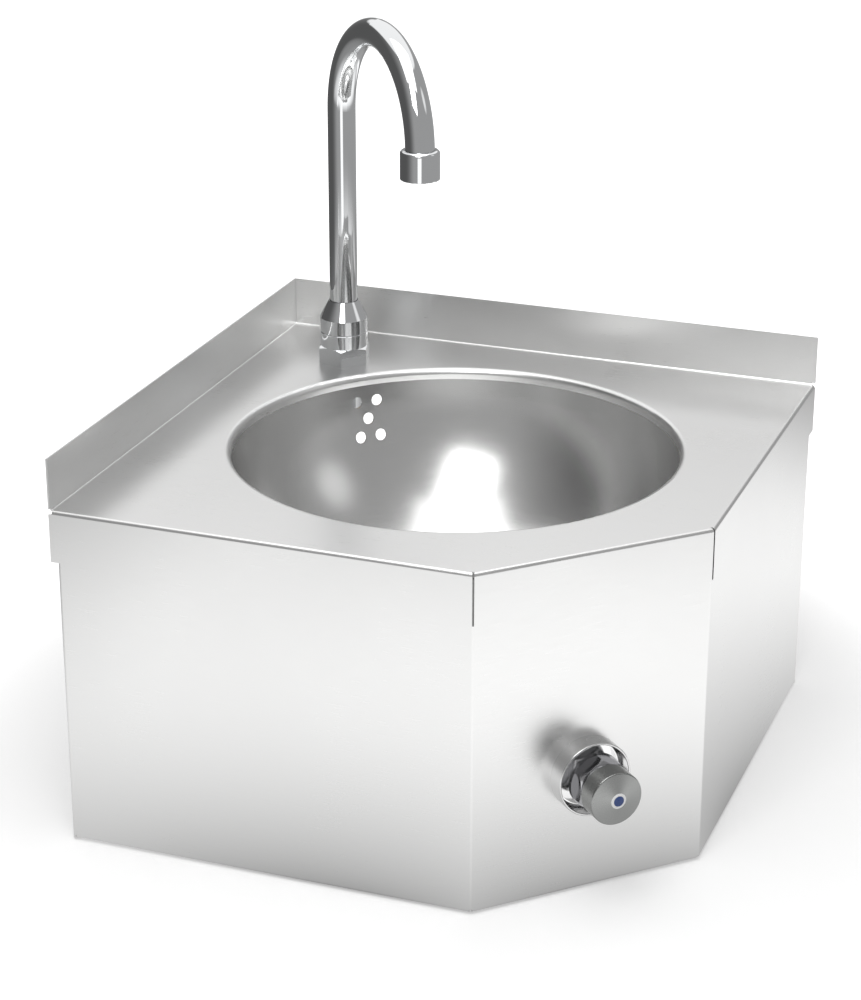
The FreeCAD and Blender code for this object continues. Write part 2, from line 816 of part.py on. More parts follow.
def wall_cleats():
    end = s.side - s.cleat_inset
    along_left = Rotation(Vector(0, 1, 0), Vector(0, 0, 1), Vector(1, 0, 0), "ZXY")
    along_back = Rotation(Vector(-1, 0, 0), Vector(0, 0, -1), Vector(0, -1, 0), "ZXY")
    wall_cleat("wall_cleat_left", (0, -end, -s.cleat_centre), along_left)
    wall_cleat("wall_cleat_back", (end, 0, -s.cleat_centre), along_back)


def flange_screws():
    """Four screws that hold the skirt's rear flanges to the cleats, driven from inside."""
    head = s.cleat_thickness + s.skirt_sheet
    screws = []
    for number in range(4):
        height = s.flange_screw_spacing / 2 * (1 if number % 2 else -1) - s.cleat_centre
        if number < 2:
            at, rotation = (head, -flange_screw_line, height), Rotation(Vector(0, 1, 0), 90)
        else:
            at, rotation = (flange_screw_line, -head, height), Rotation(Vector(1, 0, 0), 90)
        cap = doc.addObject("Part::Cylinder", f"flange_screw_cap_{number}")
        cap.setExpression("Radius", s.flange_screw_head.text)
        cap.setExpression("Height", s.flange_screw_cap.text)
        shank = doc.addObject("Part::Cylinder", f"flange_screw_shank_{number}")
        shank.setExpression("Radius", s.flange_screw_radius.text)
        shank.setExpression("Height", head.text)
        shank.setExpression("Placement.Base.z", (-head).text)
        screw = doc.addObject("Part::Fuse", f"flange_screw_{number}")
        screw.Base = cap
        screw.Tool = shank
        place(screw, at, rotation)
        screws.append(screw)
    group("flange_screws", screws)


# ---- waste ----

def waste():
    """Strainer, two seals and the outlet cup, drawn together through the bowl by one screw."""
    grid_radius = s.seat_radius - s.waste_gap
    grid_bottom = seat_floor + s.top_seal
    floor = -s.bowl_floor
    lip = s.drain_hole - s.waste_gap
    grid = turned("waste_grid", [
        (s.waste_screw_radius + s.waste_gap, grid_bottom), (lip - s.bowl_sheet, grid_bottom),
        (lip - s.bowl_sheet, seat_floor - s.grid_lip), (lip, seat_floor - s.grid_lip), (lip, grid_bottom),
        (grid_radius, grid_bottom), (grid_radius, floor), (s.waste_screw_head + s.waste_gap, floor),
    ], bowl_at)
    slot = sketch_on(grid, "slot")
    draw_slot(slot, as_size(0), s.grid_slot_in, s.grid_slot_out, s.grid_slot_half)
    ring_of(grid, pocket(grid, slot), GRID_SLOTS)
    washer("waste_seal_top", s.drain_hole, grid_radius, seat_floor, grid_bottom, bowl_at)
    under = seat_floor - s.bowl_sheet
    cup_top = under - s.bottom_seal
    washer("waste_seal_bottom", s.drain_hole, s.seat_radius, cup_top, under, bowl_at)
    waste_cup(cup_top)
    head = s.waste_screw_head
    screw_end = cup_top - s.bridge_depth - s.bridge_height - s.waste_screw_tail
    turned("waste_screw", [
        (0, screw_end), (s.waste_screw_radius, screw_end), (s.waste_screw_radius, grid_bottom),
        (head, floor), (0, floor),
    ], bowl_at)


def waste_cup(top):
    bore = s.tail_radius - s.cup_wall
    throat = s.drain_hole + s.cup_wall
    flange = top - s.cup_flange
    neck = top - s.cup_throat
    waist = neck - s.cup_taper
    tail = waist - s.tail_length
    cup = turned("waste_cup", [
        (s.drain_hole, top), (s.seat_radius, top), (s.seat_radius, flange), (throat, flange),
        (throat, neck), (s.tail_radius, waist), (s.tail_radius, tail), (bore, tail), (bore, waist),
        (s.drain_hole, neck),
    ], bowl_at)
    bridge_top = top - s.bridge_depth
    bridge = sketch_on(cup, "bridge", base=(0, 0, bridge_top))
    across = s.drain_hole - OVERLAP
    draw_box(bridge, -across, -s.bridge_half, across, s.bridge_half)
    pad(cup, bridge, s.bridge_height, down=True)
    hole = sketch_on(cup, "screw_hole", base=(0, 0, bridge_top + CLEARANCE))
    draw_circle(hole, 0, 0, s.waste_screw_radius + s.thread_fit)
    pocket(cup, hole, s.bridge_height + 2 * CLEARANCE)


# ---- tap ----

gland_bore = s.gland_radius + s.thread_fit
pipe_socket = s.pipe_radius + s.thread_fit
pipe_bore = s.pipe_radius - s.pipe_wall
shank_bottom = -s.shank_length


def tap_base():
    body = add_body("tap_base", tap_at)
    core = s.spigot_radius
    ring = sketch_on(body, "hexagon")
    draw_hexagon(ring, s.tap_hex, first_corner=-75)
    draw_circle(ring, 0, 0, core)
    pad(body, ring, s.hex_height)
    crown(body, "hex_crown", s.tap_hex, s.hex_height, 1)
    bore = s.spout_radius + s.swivel_fit
    seat = s.flange_radius + s.flange_play
    gland_top = shank_bottom + s.gland_depth
    socket_top = gland_top + s.socket_depth
    waist = s.tap_hex / 2 - OVERLAP
    add_turned(body, "turned", [
        (s.shank_radius, shank_bottom), (s.shank_radius, 0), (waist, 0), (waist, s.hex_height),
        (s.tap_radius, s.hex_height),
        (s.tap_radius, s.joint_height - s.joint_groove), (s.tap_radius - s.joint_groove, s.joint_height),
        (core, s.joint_height), (core, s.spigot_top), (seat, s.spigot_top), (seat, s.swivel_seat),
        (bore, s.swivel_seat), (bore, s.swivel_floor), (pipe_bore, s.swivel_floor),
        (pipe_bore, socket_top), (pipe_socket, socket_top), (pipe_socket, gland_top),
        (gland_bore, gland_top), (gland_bore, shank_bottom),
    ])
    recess_in = s.shank_radius + s.deck_hole_gap
    recess_out = recess_in + s.seal_width
    add_turned(body, "seal_recess", [
        (recess_in, 0), (recess_out, 0), (recess_out, s.seal_height), (recess_in, s.seal_height),
    ], "Groove")
    washer("tap_seal", recess_in, recess_out, as_size(0), s.seal_height, tap_at)
    return body


def tap_fixings():
    """Collar nut above the deck, and the washers and locknut that clamp the tap from below."""
    bore = s.spout_radius + s.flange_play
    skin = s.spigot_radius + s.thread_fit
    low = s.joint_height
    turned("tap_collar", [
        (skin, low), (s.tap_radius - s.joint_groove, low), (s.tap_radius, low + s.joint_groove),
        (s.tap_radius, s.cone_foot), (bore + s.cone_lip, s.cone_top), (bore, s.cone_top),
        (bore, s.spigot_top), (skin, s.spigot_top),
    ], tap_at)
    thread = s.shank_radius + s.thread_fit
    rubber = -s.deck_sheet - s.rubber_washer
    steel = rubber - s.steel_washer
    washer("tap_rubber_washer", thread, s.washer_radius, rubber, -s.deck_sheet, tap_at)
    washer("tap_steel_washer", thread, s.washer_radius, steel, rubber, tap_at)
    nut = add_body("tap_locknut", tap_at)
    outline = sketch_on(nut, "hexagon", base=(0, 0, steel))
    draw_hexagon(outline, s.locknut_hex)
    draw_circle(outline, 0, 0, thread)
    pad(nut, outline, s.locknut_height, down=True)
    crown(nut, "crown", s.locknut_hex, steel - s.locknut_height, -1)


def spout_tube():
    """The tube, straight up, over a half circle and down into the nozzle."""
    body = add_body("spout_tube", tap_at, CORNERWARD)
    section = sketch_on(body, "section", base=(0, 0, spout_foot))
    draw_circle(section, 0, 0, s.spout_radius)
    draw_circle(section, 0, 0, s.spout_radius - s.spout_wall)
    path = sketch_on(body, "path", "XZ_Plane")
    reach = s.arch_radius * 2
    draw_run(path, [
        (0, spout_foot), (0, s.arch_height, -s.arch_radius),
        (s.arch_radius, s.arch_height + s.arch_radius, -s.arch_radius), (reach, s.arch_height),
        (reach, s.arch_height - s.spout_drop),
    ], closed=False)
    pipe = body.newObject("PartDesign::AdditivePipe", "spout_tube_pipe")
    pipe.Profile = section
    pipe.Spine = (path, [])
    finish(pipe, body)


def spout_end():
    """The turned foot of the spout: two seal grooves, a flange that the collar holds down, and a plug."""
    skin, deep = s.spout_radius, s.spout_radius - s.ring_groove_depth
    bottom = s.swivel_floor + s.end_gap
    section = [(s.end_bore, bottom), (skin, bottom)]
    for number in range(SPOUT_RINGS):
        low = s.ring_low + s.ring_pitch * number
        high = low + s.ring_groove_width
        section += [(skin, low), (deep, low), (deep, high), (skin, high)]
    flange_low = s.swivel_seat + s.seat_play
    flange_high = s.spigot_top - s.shoulder_play
    plug = s.spout_radius - s.spout_wall - s.thread_fit
    top = spout_foot + s.end_plug
    section += [
        (skin, flange_low), (s.flange_radius, flange_low), (s.flange_radius, flange_high),
        (skin, flange_high), (skin, spout_foot), (plug, spout_foot), (plug, top), (s.end_bore, top),
    ]
    turned("spout_end", section, tap_at, CORNERWARD)


def spout_rings():
    thick = (s.ring_groove_depth + s.ring_proud) / 2
    rings = []
    for number in range(SPOUT_RINGS):
        ring = doc.addObject("Part::Torus", f"spout_ring_{number}")
        ring.setExpression("Radius1", (s.spout_radius - s.ring_groove_depth + thick).text)
        ring.setExpression("Radius2", thick.text)
        height = s.ring_low + s.ring_pitch * number + s.ring_groove_width / 2
        place(ring, (tap_reach, -tap_reach, height))
        rings.append(ring)
    group("spout_orings", rings)


def nozzle():
    """The outlet on the spout's end: a shell, a washer and the aerator that screws up against it."""
    radius, high = s.nozzle_radius, s.arch_height + s.nozzle_lift
    low = high - s.nozzle_length
    fit = s.spout_radius + s.thread_fit
    tube_end = s.arch_height - s.spout_drop
    land = s.spout_radius - s.spout_wall
    chamber = radius - s.nozzle_wall
    ceiling = tube_end - s.nozzle_land
    turned("nozzle_shell", [
        (fit, high), (fit, tube_end), (land, tube_end), (land, ceiling), (chamber, ceiling),
        (chamber, low), (radius - s.nozzle_edge, low), (radius, low + s.nozzle_edge),
        (radius, high - s.nozzle_round, s.nozzle_round), (radius - s.nozzle_round, high),
    ], nozzle_at, CORNERWARD)
    insert = chamber - s.thread_fit
    washer_low = ceiling - s.nozzle_washer
    washer("nozzle_washer", land, insert, washer_low, ceiling, nozzle_at, CORNERWARD)
    face = low + s.aerator_recess
    plate = face + s.aerator_plate
    body = turned("aerator", [
        (0, face), (insert, face), (insert, washer_low), (insert - s.aerator_wall, washer_low),
        (insert - s.aerator_wall, plate), (0, plate),
    ], nozzle_at, CORNERWARD)
    centre = sketch_on(body, "middle_hole", base=(0, 0, plate + CLEARANCE))
    draw_circle(centre, 0, 0, s.aerator_hole)
    pocket(body, centre)
    for ring, count in enumerate(AERATOR_HOLES, 1):
        hole = sketch_on(body, f"hole{ring}", base=(0, 0, plate + CLEARANCE))
        draw_circle(hole, s.aerator_ring * ring, 0, s.aerator_hole)
        ring_of(body, pocket(body, hole), count)


# ---- push valve ----

back_face = -s.skirt_sheet - s.gasket      # front of the valve's flange, behind the panel
stem_bore = s.piston_radius + s.guide_fit


def valve_body():
    body = turned("valve_body", valve_section(), valve_at, OUTWARD)
    inlet = sketch_on(body, "inlet_collar", "XZ_Plane", base=(0, -s.inlet_set_back, s.cartridge_radius))
    draw_circle(inlet, 0, 0, s.inlet_collar)
    pad(body, inlet, s.inlet_collar_end - s.cartridge_radius)
    spigot = sketch_on(body, "inlet", "XZ_Plane", base=(0, -s.inlet_set_back, s.inlet_collar_end))
    draw_circle(spigot, 0, 0, s.inlet_radius)
    pad(body, spigot, s.inlet_length)
    end = s.inlet_collar_end + s.inlet_length
    bore = sketch_on(body, "inlet_bore", "XZ_Plane", base=(0, -s.inlet_set_back, end))
    draw_circle(bore, 0, 0, s.inlet_bore)
    pocket(body, bore, s.inlet_bore_depth)
    return body


def valve_section():
    """The valve's turned body: barrel in front, flange, chamber and rear outlet with its gland."""
    barrel, cavity = s.barrel_radius, s.cartridge_radius + s.thread_fit
    flange_back = back_face - s.valve_flange
    rear = -s.valve_length
    end = rear - s.outlet_length
    gland_top = end + s.gland_depth
    socket_top = gland_top + s.socket_depth
    return [
        (cavity, s.barrel_front), (barrel, s.barrel_front), (barrel, back_face),
        (s.valve_flange_radius, back_face), (s.valve_flange_radius, flange_back),
        (s.valve_radius, flange_back), (s.valve_radius, rear), (s.outlet_radius, rear),
        (s.outlet_radius, end), (gland_bore, end), (gland_bore, gland_top), (pipe_socket, gland_top),
        (pipe_socket, socket_top), (pipe_bore, socket_top), (pipe_bore, -cartridge_back),
        (cavity, -cartridge_back),
    ]


def valve_fixings():
    """Gasket behind the panel, and the cup, locknut and bonnet in front of it."""
    hole = s.barrel_radius + s.barrel_gap
    washer("panel_gasket", hole, s.valve_flange_radius, back_face, -s.skirt_sheet, valve_at, OUTWARD)
    rim = s.cup_radius - s.cup_sheet
    cup = turned("escutcheon", [
        (hole, 0), (s.cup_radius, 0), (s.cup_radius, s.cup_depth), (rim, s.cup_depth),
        (rim, s.cup_sheet), (hole, s.cup_sheet),
    ], valve_at, OUTWARD)
    round_edges(cup, "rim", s.cup_round, [(s.cup_radius, 0, s.cup_depth), (rim, 0, s.cup_depth)])
    round_edges(cup, "corner", s.cup_corner, [(rim, 0, s.cup_sheet)])
    thread = s.barrel_radius + s.thread_fit
    nut = add_body("mounting_nut", valve_at, OUTWARD)
    outline = sketch_on(nut, "hexagon", base=(0, 0, s.cup_sheet))
    draw_hexagon(outline, s.lock_hex, first_corner=10)
    draw_circle(outline, 0, 0, thread)
    pad(nut, outline, s.lock_front - s.cup_sheet)
    crown(nut, "crown", s.lock_hex, s.lock_front, 1)


def bonnet():
    body = add_body("bonnet", valve_at, OUTWARD)
    thread = s.barrel_radius + s.thread_fit
    guide = s.stem_radius + s.guide_fit
    neck = sketch_on(body, "hexagon", base=(0, 0, s.collar_front))
    draw_hexagon(neck, s.neck_hex, first_corner=30)
    draw_circle(neck, 0, 0, thread)
    pad(body, neck, s.neck_front - s.collar_front)
    crown(body, "crown", s.neck_hex, s.neck_front, 1)
    add_turned(body, "turned", [
        (thread, s.lock_front), (s.collar_radius, s.lock_front), (s.collar_radius, s.collar_front),
        (s.nose_radius, s.collar_front), (s.nose_radius, s.nose_front), (s.spring_recess, s.nose_front),
        (s.spring_recess, s.spring_seat), (guide, s.spring_seat), (guide, s.bonnet_web),
        (thread, s.bonnet_web),
    ])
    return body


def cartridge():
    bottom = -cartridge_back
    turned("cartridge", [
        (s.cartridge_port, bottom), (s.cartridge_radius, bottom), (s.cartridge_radius, s.barrel_front),
        (stem_bore, s.barrel_front), (stem_bore, bottom + s.cartridge_floor),
        (s.cartridge_port, bottom + s.cartridge_floor),
    ], valve_at, OUTWARD)


def inlet_filter():
    """A thimble strainer in the inlet's bore, its rim towards the supply."""
    rim, skin = s.inlet_bore, s.inlet_bore - s.filter_rim
    inside = skin - s.filter_wall
    low = s.filter_set_in - s.inlet_collar_end - s.inlet_length
    at = (valve_at[0] - s.inlet_set_back * HALF_ROOT, valve_at[1] + s.inlet_set_back * HALF_ROOT, valve_at[2])
    turned("inlet_filter", [
        (inside, low), (rim, low), (rim, low + s.filter_rim), (skin, low + s.filter_rim),
        (skin, low + s.filter_length), (0, low + s.filter_length),
        (0, low + s.filter_length - s.filter_wall), (inside, low + s.filter_length - s.filter_wall),
    ], at)


# ---- push button ----

def button():
    """The cap with its mark, and the stem and seal that it pushes."""
    inside = s.nose_radius + s.cap_gap
    apex = s.cap_front + s.cap_cone
    seat_height = apex - s.mark_depth

    def cone_at(radius):
        return apex - s.cap_cone / s.cap_radius * radius

    cap = turned("button_cap", [
        (inside, cap_back), (s.cap_radius, cap_back), (s.cap_radius, s.cap_front),
        (s.mark_ring, cone_at(s.mark_ring)), (s.mark_ring, seat_height - s.mark_depth),
        (0, seat_height - s.mark_depth), (0, cap_ceiling), (inside, cap_ceiling),
    ], valve_at, OUTWARD)
    round_edges(cap, "front", s.cap_edge, [(s.cap_radius, 0, s.cap_front)])
    floor = seat_height - s.mark_depth
    turned("button_ring", [
        (s.mark_radius, floor), (s.mark_ring, floor), (s.mark_ring, cone_at(s.mark_ring)),
        (s.mark_radius, cone_at(s.mark_radius)),
    ], valve_at, OUTWARD)
    turned("button_dot", [
        (0, floor), (s.mark_radius, floor), (s.mark_radius, cone_at(s.mark_radius)), (0, apex),
    ], valve_at, OUTWARD)
    thin = s.piston_radius - s.stem_ring_depth
    turned("button_stem", [
        (0, s.piston_back), (s.piston_radius, s.piston_back), (s.piston_radius, s.stem_ring_back),
        (thin, s.stem_ring_back), (thin, s.stem_ring_back + s.stem_ring_width),
        (s.piston_radius, s.stem_ring_back + s.stem_ring_width), (s.piston_radius, s.piston_front),
        (s.stem_radius, s.piston_front), (s.stem_radius, cap_ceiling), (0, cap_ceiling),
    ], valve_at, OUTWARD)


def stem_seal():
    thick = (s.stem_ring_depth + s.ring_proud) / 2
    ring = doc.addObject("Part::Torus", "stem_seal")
    ring.Label = "stem_seal"
    ring.setExpression("Radius1", (s.piston_radius - s.stem_ring_depth + thick).text)
    ring.setExpression("Radius2", thick.text)
    reach = s.stem_ring_back + s.stem_ring_width / 2
    at = on_diagonal(panel_distance + reach, -s.valve_offset, -s.valve_depth)
    place(ring, at, OUTWARD)
    pieces.append(ring)


def tangent_arc(start, along, end):
    """The arc that leaves start in the given direction and reaches end."""
    chord = end - start
    line = Vector(chord).normalize()
    aside = (along - line * along.dot(line)).normalize()
    middle = start + chord / 2 + aside * (chord.Length / 2 * math.tan(along.getAngle(chord) / 2))
    return Part.Arc(start, middle, end).toShape()


def coil_path(radius, pitch, turns):
    """A rising coil of smooth arcs, two for each quarter turn."""
    points, headings = [], []
    for number in range(round(turns * QUARTERS) + 1):
        angle = 2 * math.pi * number / QUARTERS
        points.append(Vector(radius * math.cos(angle), radius * math.sin(angle), pitch * number / QUARTERS))
        heading = Vector(-radius * math.sin(angle), radius * math.cos(angle), pitch / (2 * math.pi))
        headings.append(heading.normalize())
    edges = []
    for start, end, leaving, arriving in zip(points, points[1:], headings, headings[1:]):
        chord, both = end - start, leaving + arriving
        bend = 2 * (1 - leaving.dot(arriving))
        along = chord.dot(both)
        reach = (math.sqrt(along**2 + bend * chord.dot(chord)) - along) / bend
        meeting = (start + end + (leaving - arriving) * reach) / 2
        edges += [tangent_arc(start, leaving, meeting), tangent_arc(end, -arriving, meeting)]
    return Part.Wire(Part.__sortEdges__(edges))


def return_spring():
    """An open coil round the stem, from the bonnet's seat to the ceiling of the cap."""
    wire, radius, turns = s.spring_wire.value, s.spring_radius.value, s.spring_turns.value
    low, high = s.spring_seat.value + wire, cap_ceiling.value - wire
    pitch = (high - low) / turns
    direction = Vector(0, 2 * math.pi * radius, pitch)
    section = Part.Wire(Part.makeCircle(wire, Vector(radius, 0, 0), direction))
    coil = coil_path(radius, pitch, turns).makePipeShell([section], True, False)
    print(f"return spring: gap between turns {pitch - 2 * wire:.2f} at rest")
    spring = doc.addObject("Part::Feature", "return_spring")
    spring.Label = "return_spring"
    spring.Shape = Part.Solid(coil) if coil.ShapeType == "Shell" else coil
    spring.Placement = Placement(
        vector(*on_diagonal(panel_distance + low, -s.valve_offset, -s.valve_depth)), OUTWARD,
    )
    pieces.append(spring)


# ---- feed pipe from the valve to the tap ----

def bent_wire(points, radius):
    """Straight runs joined by tangent arcs of one radius."""
    edges = []
    start = points[0]
    for before, corner, after in zip(points, points[1:], points[2:]):
        arriving = (corner - before).normalize()
        leaving = (after - corner).normalize()
        half_turn = arriving.getAngle(leaving) / 2
        run = radius * math.tan(half_turn)
        first, last = corner - arriving * run, corner + leaving * run
        towards = (leaving - arriving).normalize()
        centre = corner + towards * (radius / math.cos(half_turn))
        edges.append(Part.LineSegment(start, first).toShape())
        middle = centre - towards * radius
        edges.append(Part.Arc(first, middle, last).toShape())
        start = last
    edges.append(Part.LineSegment(start, points[-1]).toShape())
    return Part.Wire(edges)


def feed_pipe():
    """Rigid pipe from the valve's rear, round the waste and up into the tap's shank."""
    tap, drain = tap_reach * math.sqrt(2), s.bowl_reach * math.sqrt(2)
    depth, top = -s.valve_depth, shank_bottom + s.gland_depth + s.socket_depth
    first = panel_distance - s.valve_length - s.outlet_length + s.gland_depth + s.socket_depth
    route = [
        (first, -s.valve_offset, depth), (first - s.pipe_start, -s.valve_offset, depth),
        (drain + s.pipe_pass, -s.pipe_detour, depth), (drain - s.pipe_pass, -s.pipe_detour, depth),
        (tap + s.pipe_return, as_size(0), depth), (tap, as_size(0), depth), (tap, as_size(0), top),
    ]
    points = [vector(*on_diagonal(*point)) for point in route]
    path = bent_wire(points, s.pipe_bend.value)
    heading = points[1] - points[0]
    tubes = []
    for radius in (s.pipe_radius.value, pipe_bore.value):
        circle = Part.Wire(Part.makeCircle(radius, points[0], heading))
        tubes.append(path.makePipeShell([circle], True, False))
    pipe = doc.addObject("Part::Feature", "feed_pipe")
    pipe.Label = "feed_pipe"
    pipe.Shape = tubes[0].cut(tubes[1])
    section = math.pi * (s.pipe_radius.value**2 - pipe_bore.value**2)
    print(f"feed pipe: volume over section times length {pipe.Shape.Volume / (section * path.Length):.4f}")
    pieces.append(pipe)


def gland(kind, name, at, rotation):
    """A gland nut or an olive at the end of the pipe. Local Z runs along the pipe into the socket, from
    the mouth of the gland's thread."""
    skin = s.pipe_radius + s.thread_fit
    if kind == "olive":
        section = [(skin, 0), (s.gland_radius, 0), (s.gland_radius, s.olive_length), (skin, s.olive_length)]
        lift = s.gland_neck - s.gland_gap
        section = [(radius, lift + height) for radius, height in section]
    else:
        section = [(skin, -s.gland_gap), (s.gland_radius, -s.gland_gap),
                   (s.gland_radius, s.gland_neck - s.gland_gap), (skin, s.gland_neck - s.gland_gap)]
    body = add_body(name, at, rotation)
    pieces.remove(body)
    add_turned(body, "neck", section)
    if kind == "nut":
        head = sketch_on(body, "head", base=(0, 0, -s.gland_gap))
        draw_hexagon(head, s.gland_hex, first_corner=15)
        draw_circle(head, 0, 0, skin)
        pad(body, head, s.gland_height, down=True)
        crown(body, "crown", s.gland_hex, -s.gland_gap - s.gland_height, -1)
    return body


def glands():
    upward = Rotation()
    valve_end = panel_distance - s.valve_length - s.outlet_length
    ends = [
        ("tap", (tap_reach, -tap_reach, shank_bottom), upward),
        ("valve", on_diagonal(valve_end, -s.valve_offset, -s.valve_depth), OUTWARD),
    ]
    for kind, label in (("nut", "feed_nuts"), ("olive", "feed_olives")):
        group(label, [gland(kind, f"{end}_{kind}", at, rotation) for end, at, rotation in ends])


# ---- the whole basin ----

def build():
    deck_top()
    bowl()
    skirt()
    wall_cleats()
    flange_screws()
    waste()
    tap_base()
    tap_fixings()
    spout_tube()
    spout_end()
    spout_rings()
    nozzle()
    valve_body()
    valve_fixings()
    bonnet()
    cartridge()
    inlet_filter()
    button()
    stem_seal()
    return_spring()
    feed_pipe()
    glands()


def check():
    """Stop if any object failed or any piece has no sound solid."""
    for item in doc.Objects:
        if "Invalid" in item.State or "Error" in item.State:
            raise RuntimeError(f"{item.Name} is {item.State}")
    for piece in pieces:
        if piece.Shape.isNull() or not piece.Shape.isValid() or not piece.Shape.Solids:
            raise RuntimeError(f"{piece.Label} has no sound solid")


def export():
    os.makedirs("parts", exist_ok=True)
    for piece in pieces:
        piece.Shape.exportStep(f"parts/{piece.Label}.step")


build()
doc.recompute()
check()
export()
print(f"{len(pieces)} pieces")
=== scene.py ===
import json
import math

import bpy
from mathutils import Matrix, Vector

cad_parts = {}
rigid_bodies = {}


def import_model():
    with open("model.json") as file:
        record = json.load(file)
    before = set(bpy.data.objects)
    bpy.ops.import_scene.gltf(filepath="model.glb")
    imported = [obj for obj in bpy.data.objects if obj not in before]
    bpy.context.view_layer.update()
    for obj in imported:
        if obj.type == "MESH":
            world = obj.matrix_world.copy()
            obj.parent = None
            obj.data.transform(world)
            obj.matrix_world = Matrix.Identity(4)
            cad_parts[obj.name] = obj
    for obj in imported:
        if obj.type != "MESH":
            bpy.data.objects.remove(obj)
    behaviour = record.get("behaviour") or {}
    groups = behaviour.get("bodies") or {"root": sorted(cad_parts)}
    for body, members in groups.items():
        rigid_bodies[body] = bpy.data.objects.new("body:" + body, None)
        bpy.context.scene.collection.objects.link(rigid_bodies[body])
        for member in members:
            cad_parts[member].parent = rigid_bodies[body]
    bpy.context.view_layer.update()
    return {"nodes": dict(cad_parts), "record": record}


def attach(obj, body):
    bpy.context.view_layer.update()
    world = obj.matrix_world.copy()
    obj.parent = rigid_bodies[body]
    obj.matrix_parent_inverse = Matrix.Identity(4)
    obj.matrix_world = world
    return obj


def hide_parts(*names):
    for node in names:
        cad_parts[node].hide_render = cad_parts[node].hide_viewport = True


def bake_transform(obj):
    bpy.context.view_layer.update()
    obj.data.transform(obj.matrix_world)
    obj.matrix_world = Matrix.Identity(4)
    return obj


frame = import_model()
nodes = frame["nodes"]
print("frame loaded:", len(nodes), "nodes")

# metres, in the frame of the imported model: the wall corner is the origin, +Z is up
bowlMiddle = Vector((0.2, -0.2, 0))
tapAxis = Vector((0.0665, -0.0665, 0))
valveMiddle = Vector((0.33843, -0.34267, -0.150))      # on the valve's axis, at the corner panel
outward = Vector((math.sqrt(0.5), -math.sqrt(0.5), 0))      # square to the corner panel


def setOrJoin(tree, socket, value):
    # a number, vector or colour is set, and another node's output is joined
    if isinstance(value, bpy.types.NodeSocket):
        tree.links.new(value, socket)
    else:
        socket.default_value = value


def math2(tree, operation, first, second=0):
    node = tree.nodes.new("ShaderNodeMath")
    node.operation = operation
    setOrJoin(tree, node.inputs[0], first)
    setOrJoin(tree, node.inputs[1], second)
    return node.outputs[0]


def vectorMath(tree, operation, first, second=(0, 0, 0)):
    # gives the vector, or the number for a dot product or a length
    node = tree.nodes.new("ShaderNodeVectorMath")
    node.operation = operation
    setOrJoin(tree, node.inputs[0], first)
    setOrJoin(tree, node.inputs[1], second)
    return node.outputs["Value" if operation in ("DOT_PRODUCT", "LENGTH") else "Vector"]


def separate(tree, vector):
    node = tree.nodes.new("ShaderNodeSeparateXYZ")
    tree.links.new(vector, node.inputs[0])
    return node.outputs["X"], node.outputs["Y"], node.outputs["Z"]


def mapRange(tree, value, fromLow, fromHigh, toLow, toHigh, smooth=True):
    node = tree.nodes.new("ShaderNodeMapRange")
    node.interpolation_type = "SMOOTHSTEP" if smooth else "LINEAR"
    node.inputs["From Min"].default_value = fromLow
    node.inputs["From Max"].default_value = fromHigh
    node.inputs["To Min"].default_value = toLow
    node.inputs["To Max"].default_value = toHigh
    tree.links.new(value, node.inputs["Value"])
    return node.outputs[0]


def mapped(tree, place, shift=(0, 0, 0), stretch=(1, 1, 1)):
    node = tree.nodes.new("ShaderNodeMapping")
    node.inputs["Location"].default_value = shift
    node.inputs["Scale"].default_value = stretch
    tree.links.new(place, node.inputs["Vector"])
    return node.outputs[0]


def noise(tree, place, stretch=(1, 1, 1), detail=2.0):
    node = tree.nodes.new("ShaderNodeTexNoise")
    node.inputs["Scale"].default_value = 1
    node.inputs["Detail"].default_value = detail
    tree.links.new(mapped(tree, place, stretch=stretch), node.inputs["Vector"])
    return node.outputs["Fac"]


def mixNumbers(tree, share, first, second):
    node = tree.nodes.new("ShaderNodeMix")
    for slot, value in ((0, share), (2, first), (3, second)):
        setOrJoin(tree, node.inputs[slot], value)
    return node.outputs[0]


def mixColours(tree, share, first, second, blend="MIX"):
    node = tree.nodes.new("ShaderNodeMix")
    node.data_type = "RGBA"
    node.blend_type = blend
    for slot, value in ((0, share), (6, first), (7, second)):
        setOrJoin(tree, node.inputs[slot], value)
    return node.outputs[2]


def newMaterial(name, metallic):
    # each finish joins its own colour and roughness
    material = bpy.data.materials.new(name)
    material.use_nodes = True
    tree = material.node_tree
    shader = tree.nodes["Principled BSDF"]
    shader.inputs["Metallic"].default_value = metallic
    place = tree.nodes.new("ShaderNodeTexCoord").outputs["Object"]
    return material, tree, shader, place


def addBump(tree, shader, height, strength, depth):
    bump = tree.nodes.new("ShaderNodeBump")
    bump.inputs["Strength"].default_value = strength
    bump.inputs["Distance"].default_value = depth
    tree.links.new(height, bump.inputs["Height"])
    tree.links.new(bump.outputs[0], shader.inputs["Normal"])


noiseSpan = (0.3, 0.7)      # the part of the noise that goes from smooth to rough

# painted shade: the sheet's colour is darkened in and behind the slits between the aprons, where narrow gaps
# lie in shade
slits = {
    "side": 0.4,      # from the walls to the aprons' outer faces
    "cornerPanel": 0.6828,      # x - y on its apron's outer face
    "corners": ((0.2828, -0.4), (0.4, -0.2828)),
    "reach": 0.0032,      # round each corner
    "behind": 0.0005,      # the outer faces, where the shade starts
    "top": -0.0008,
    "bottom": -0.035,
    "shade": 0.3,
}


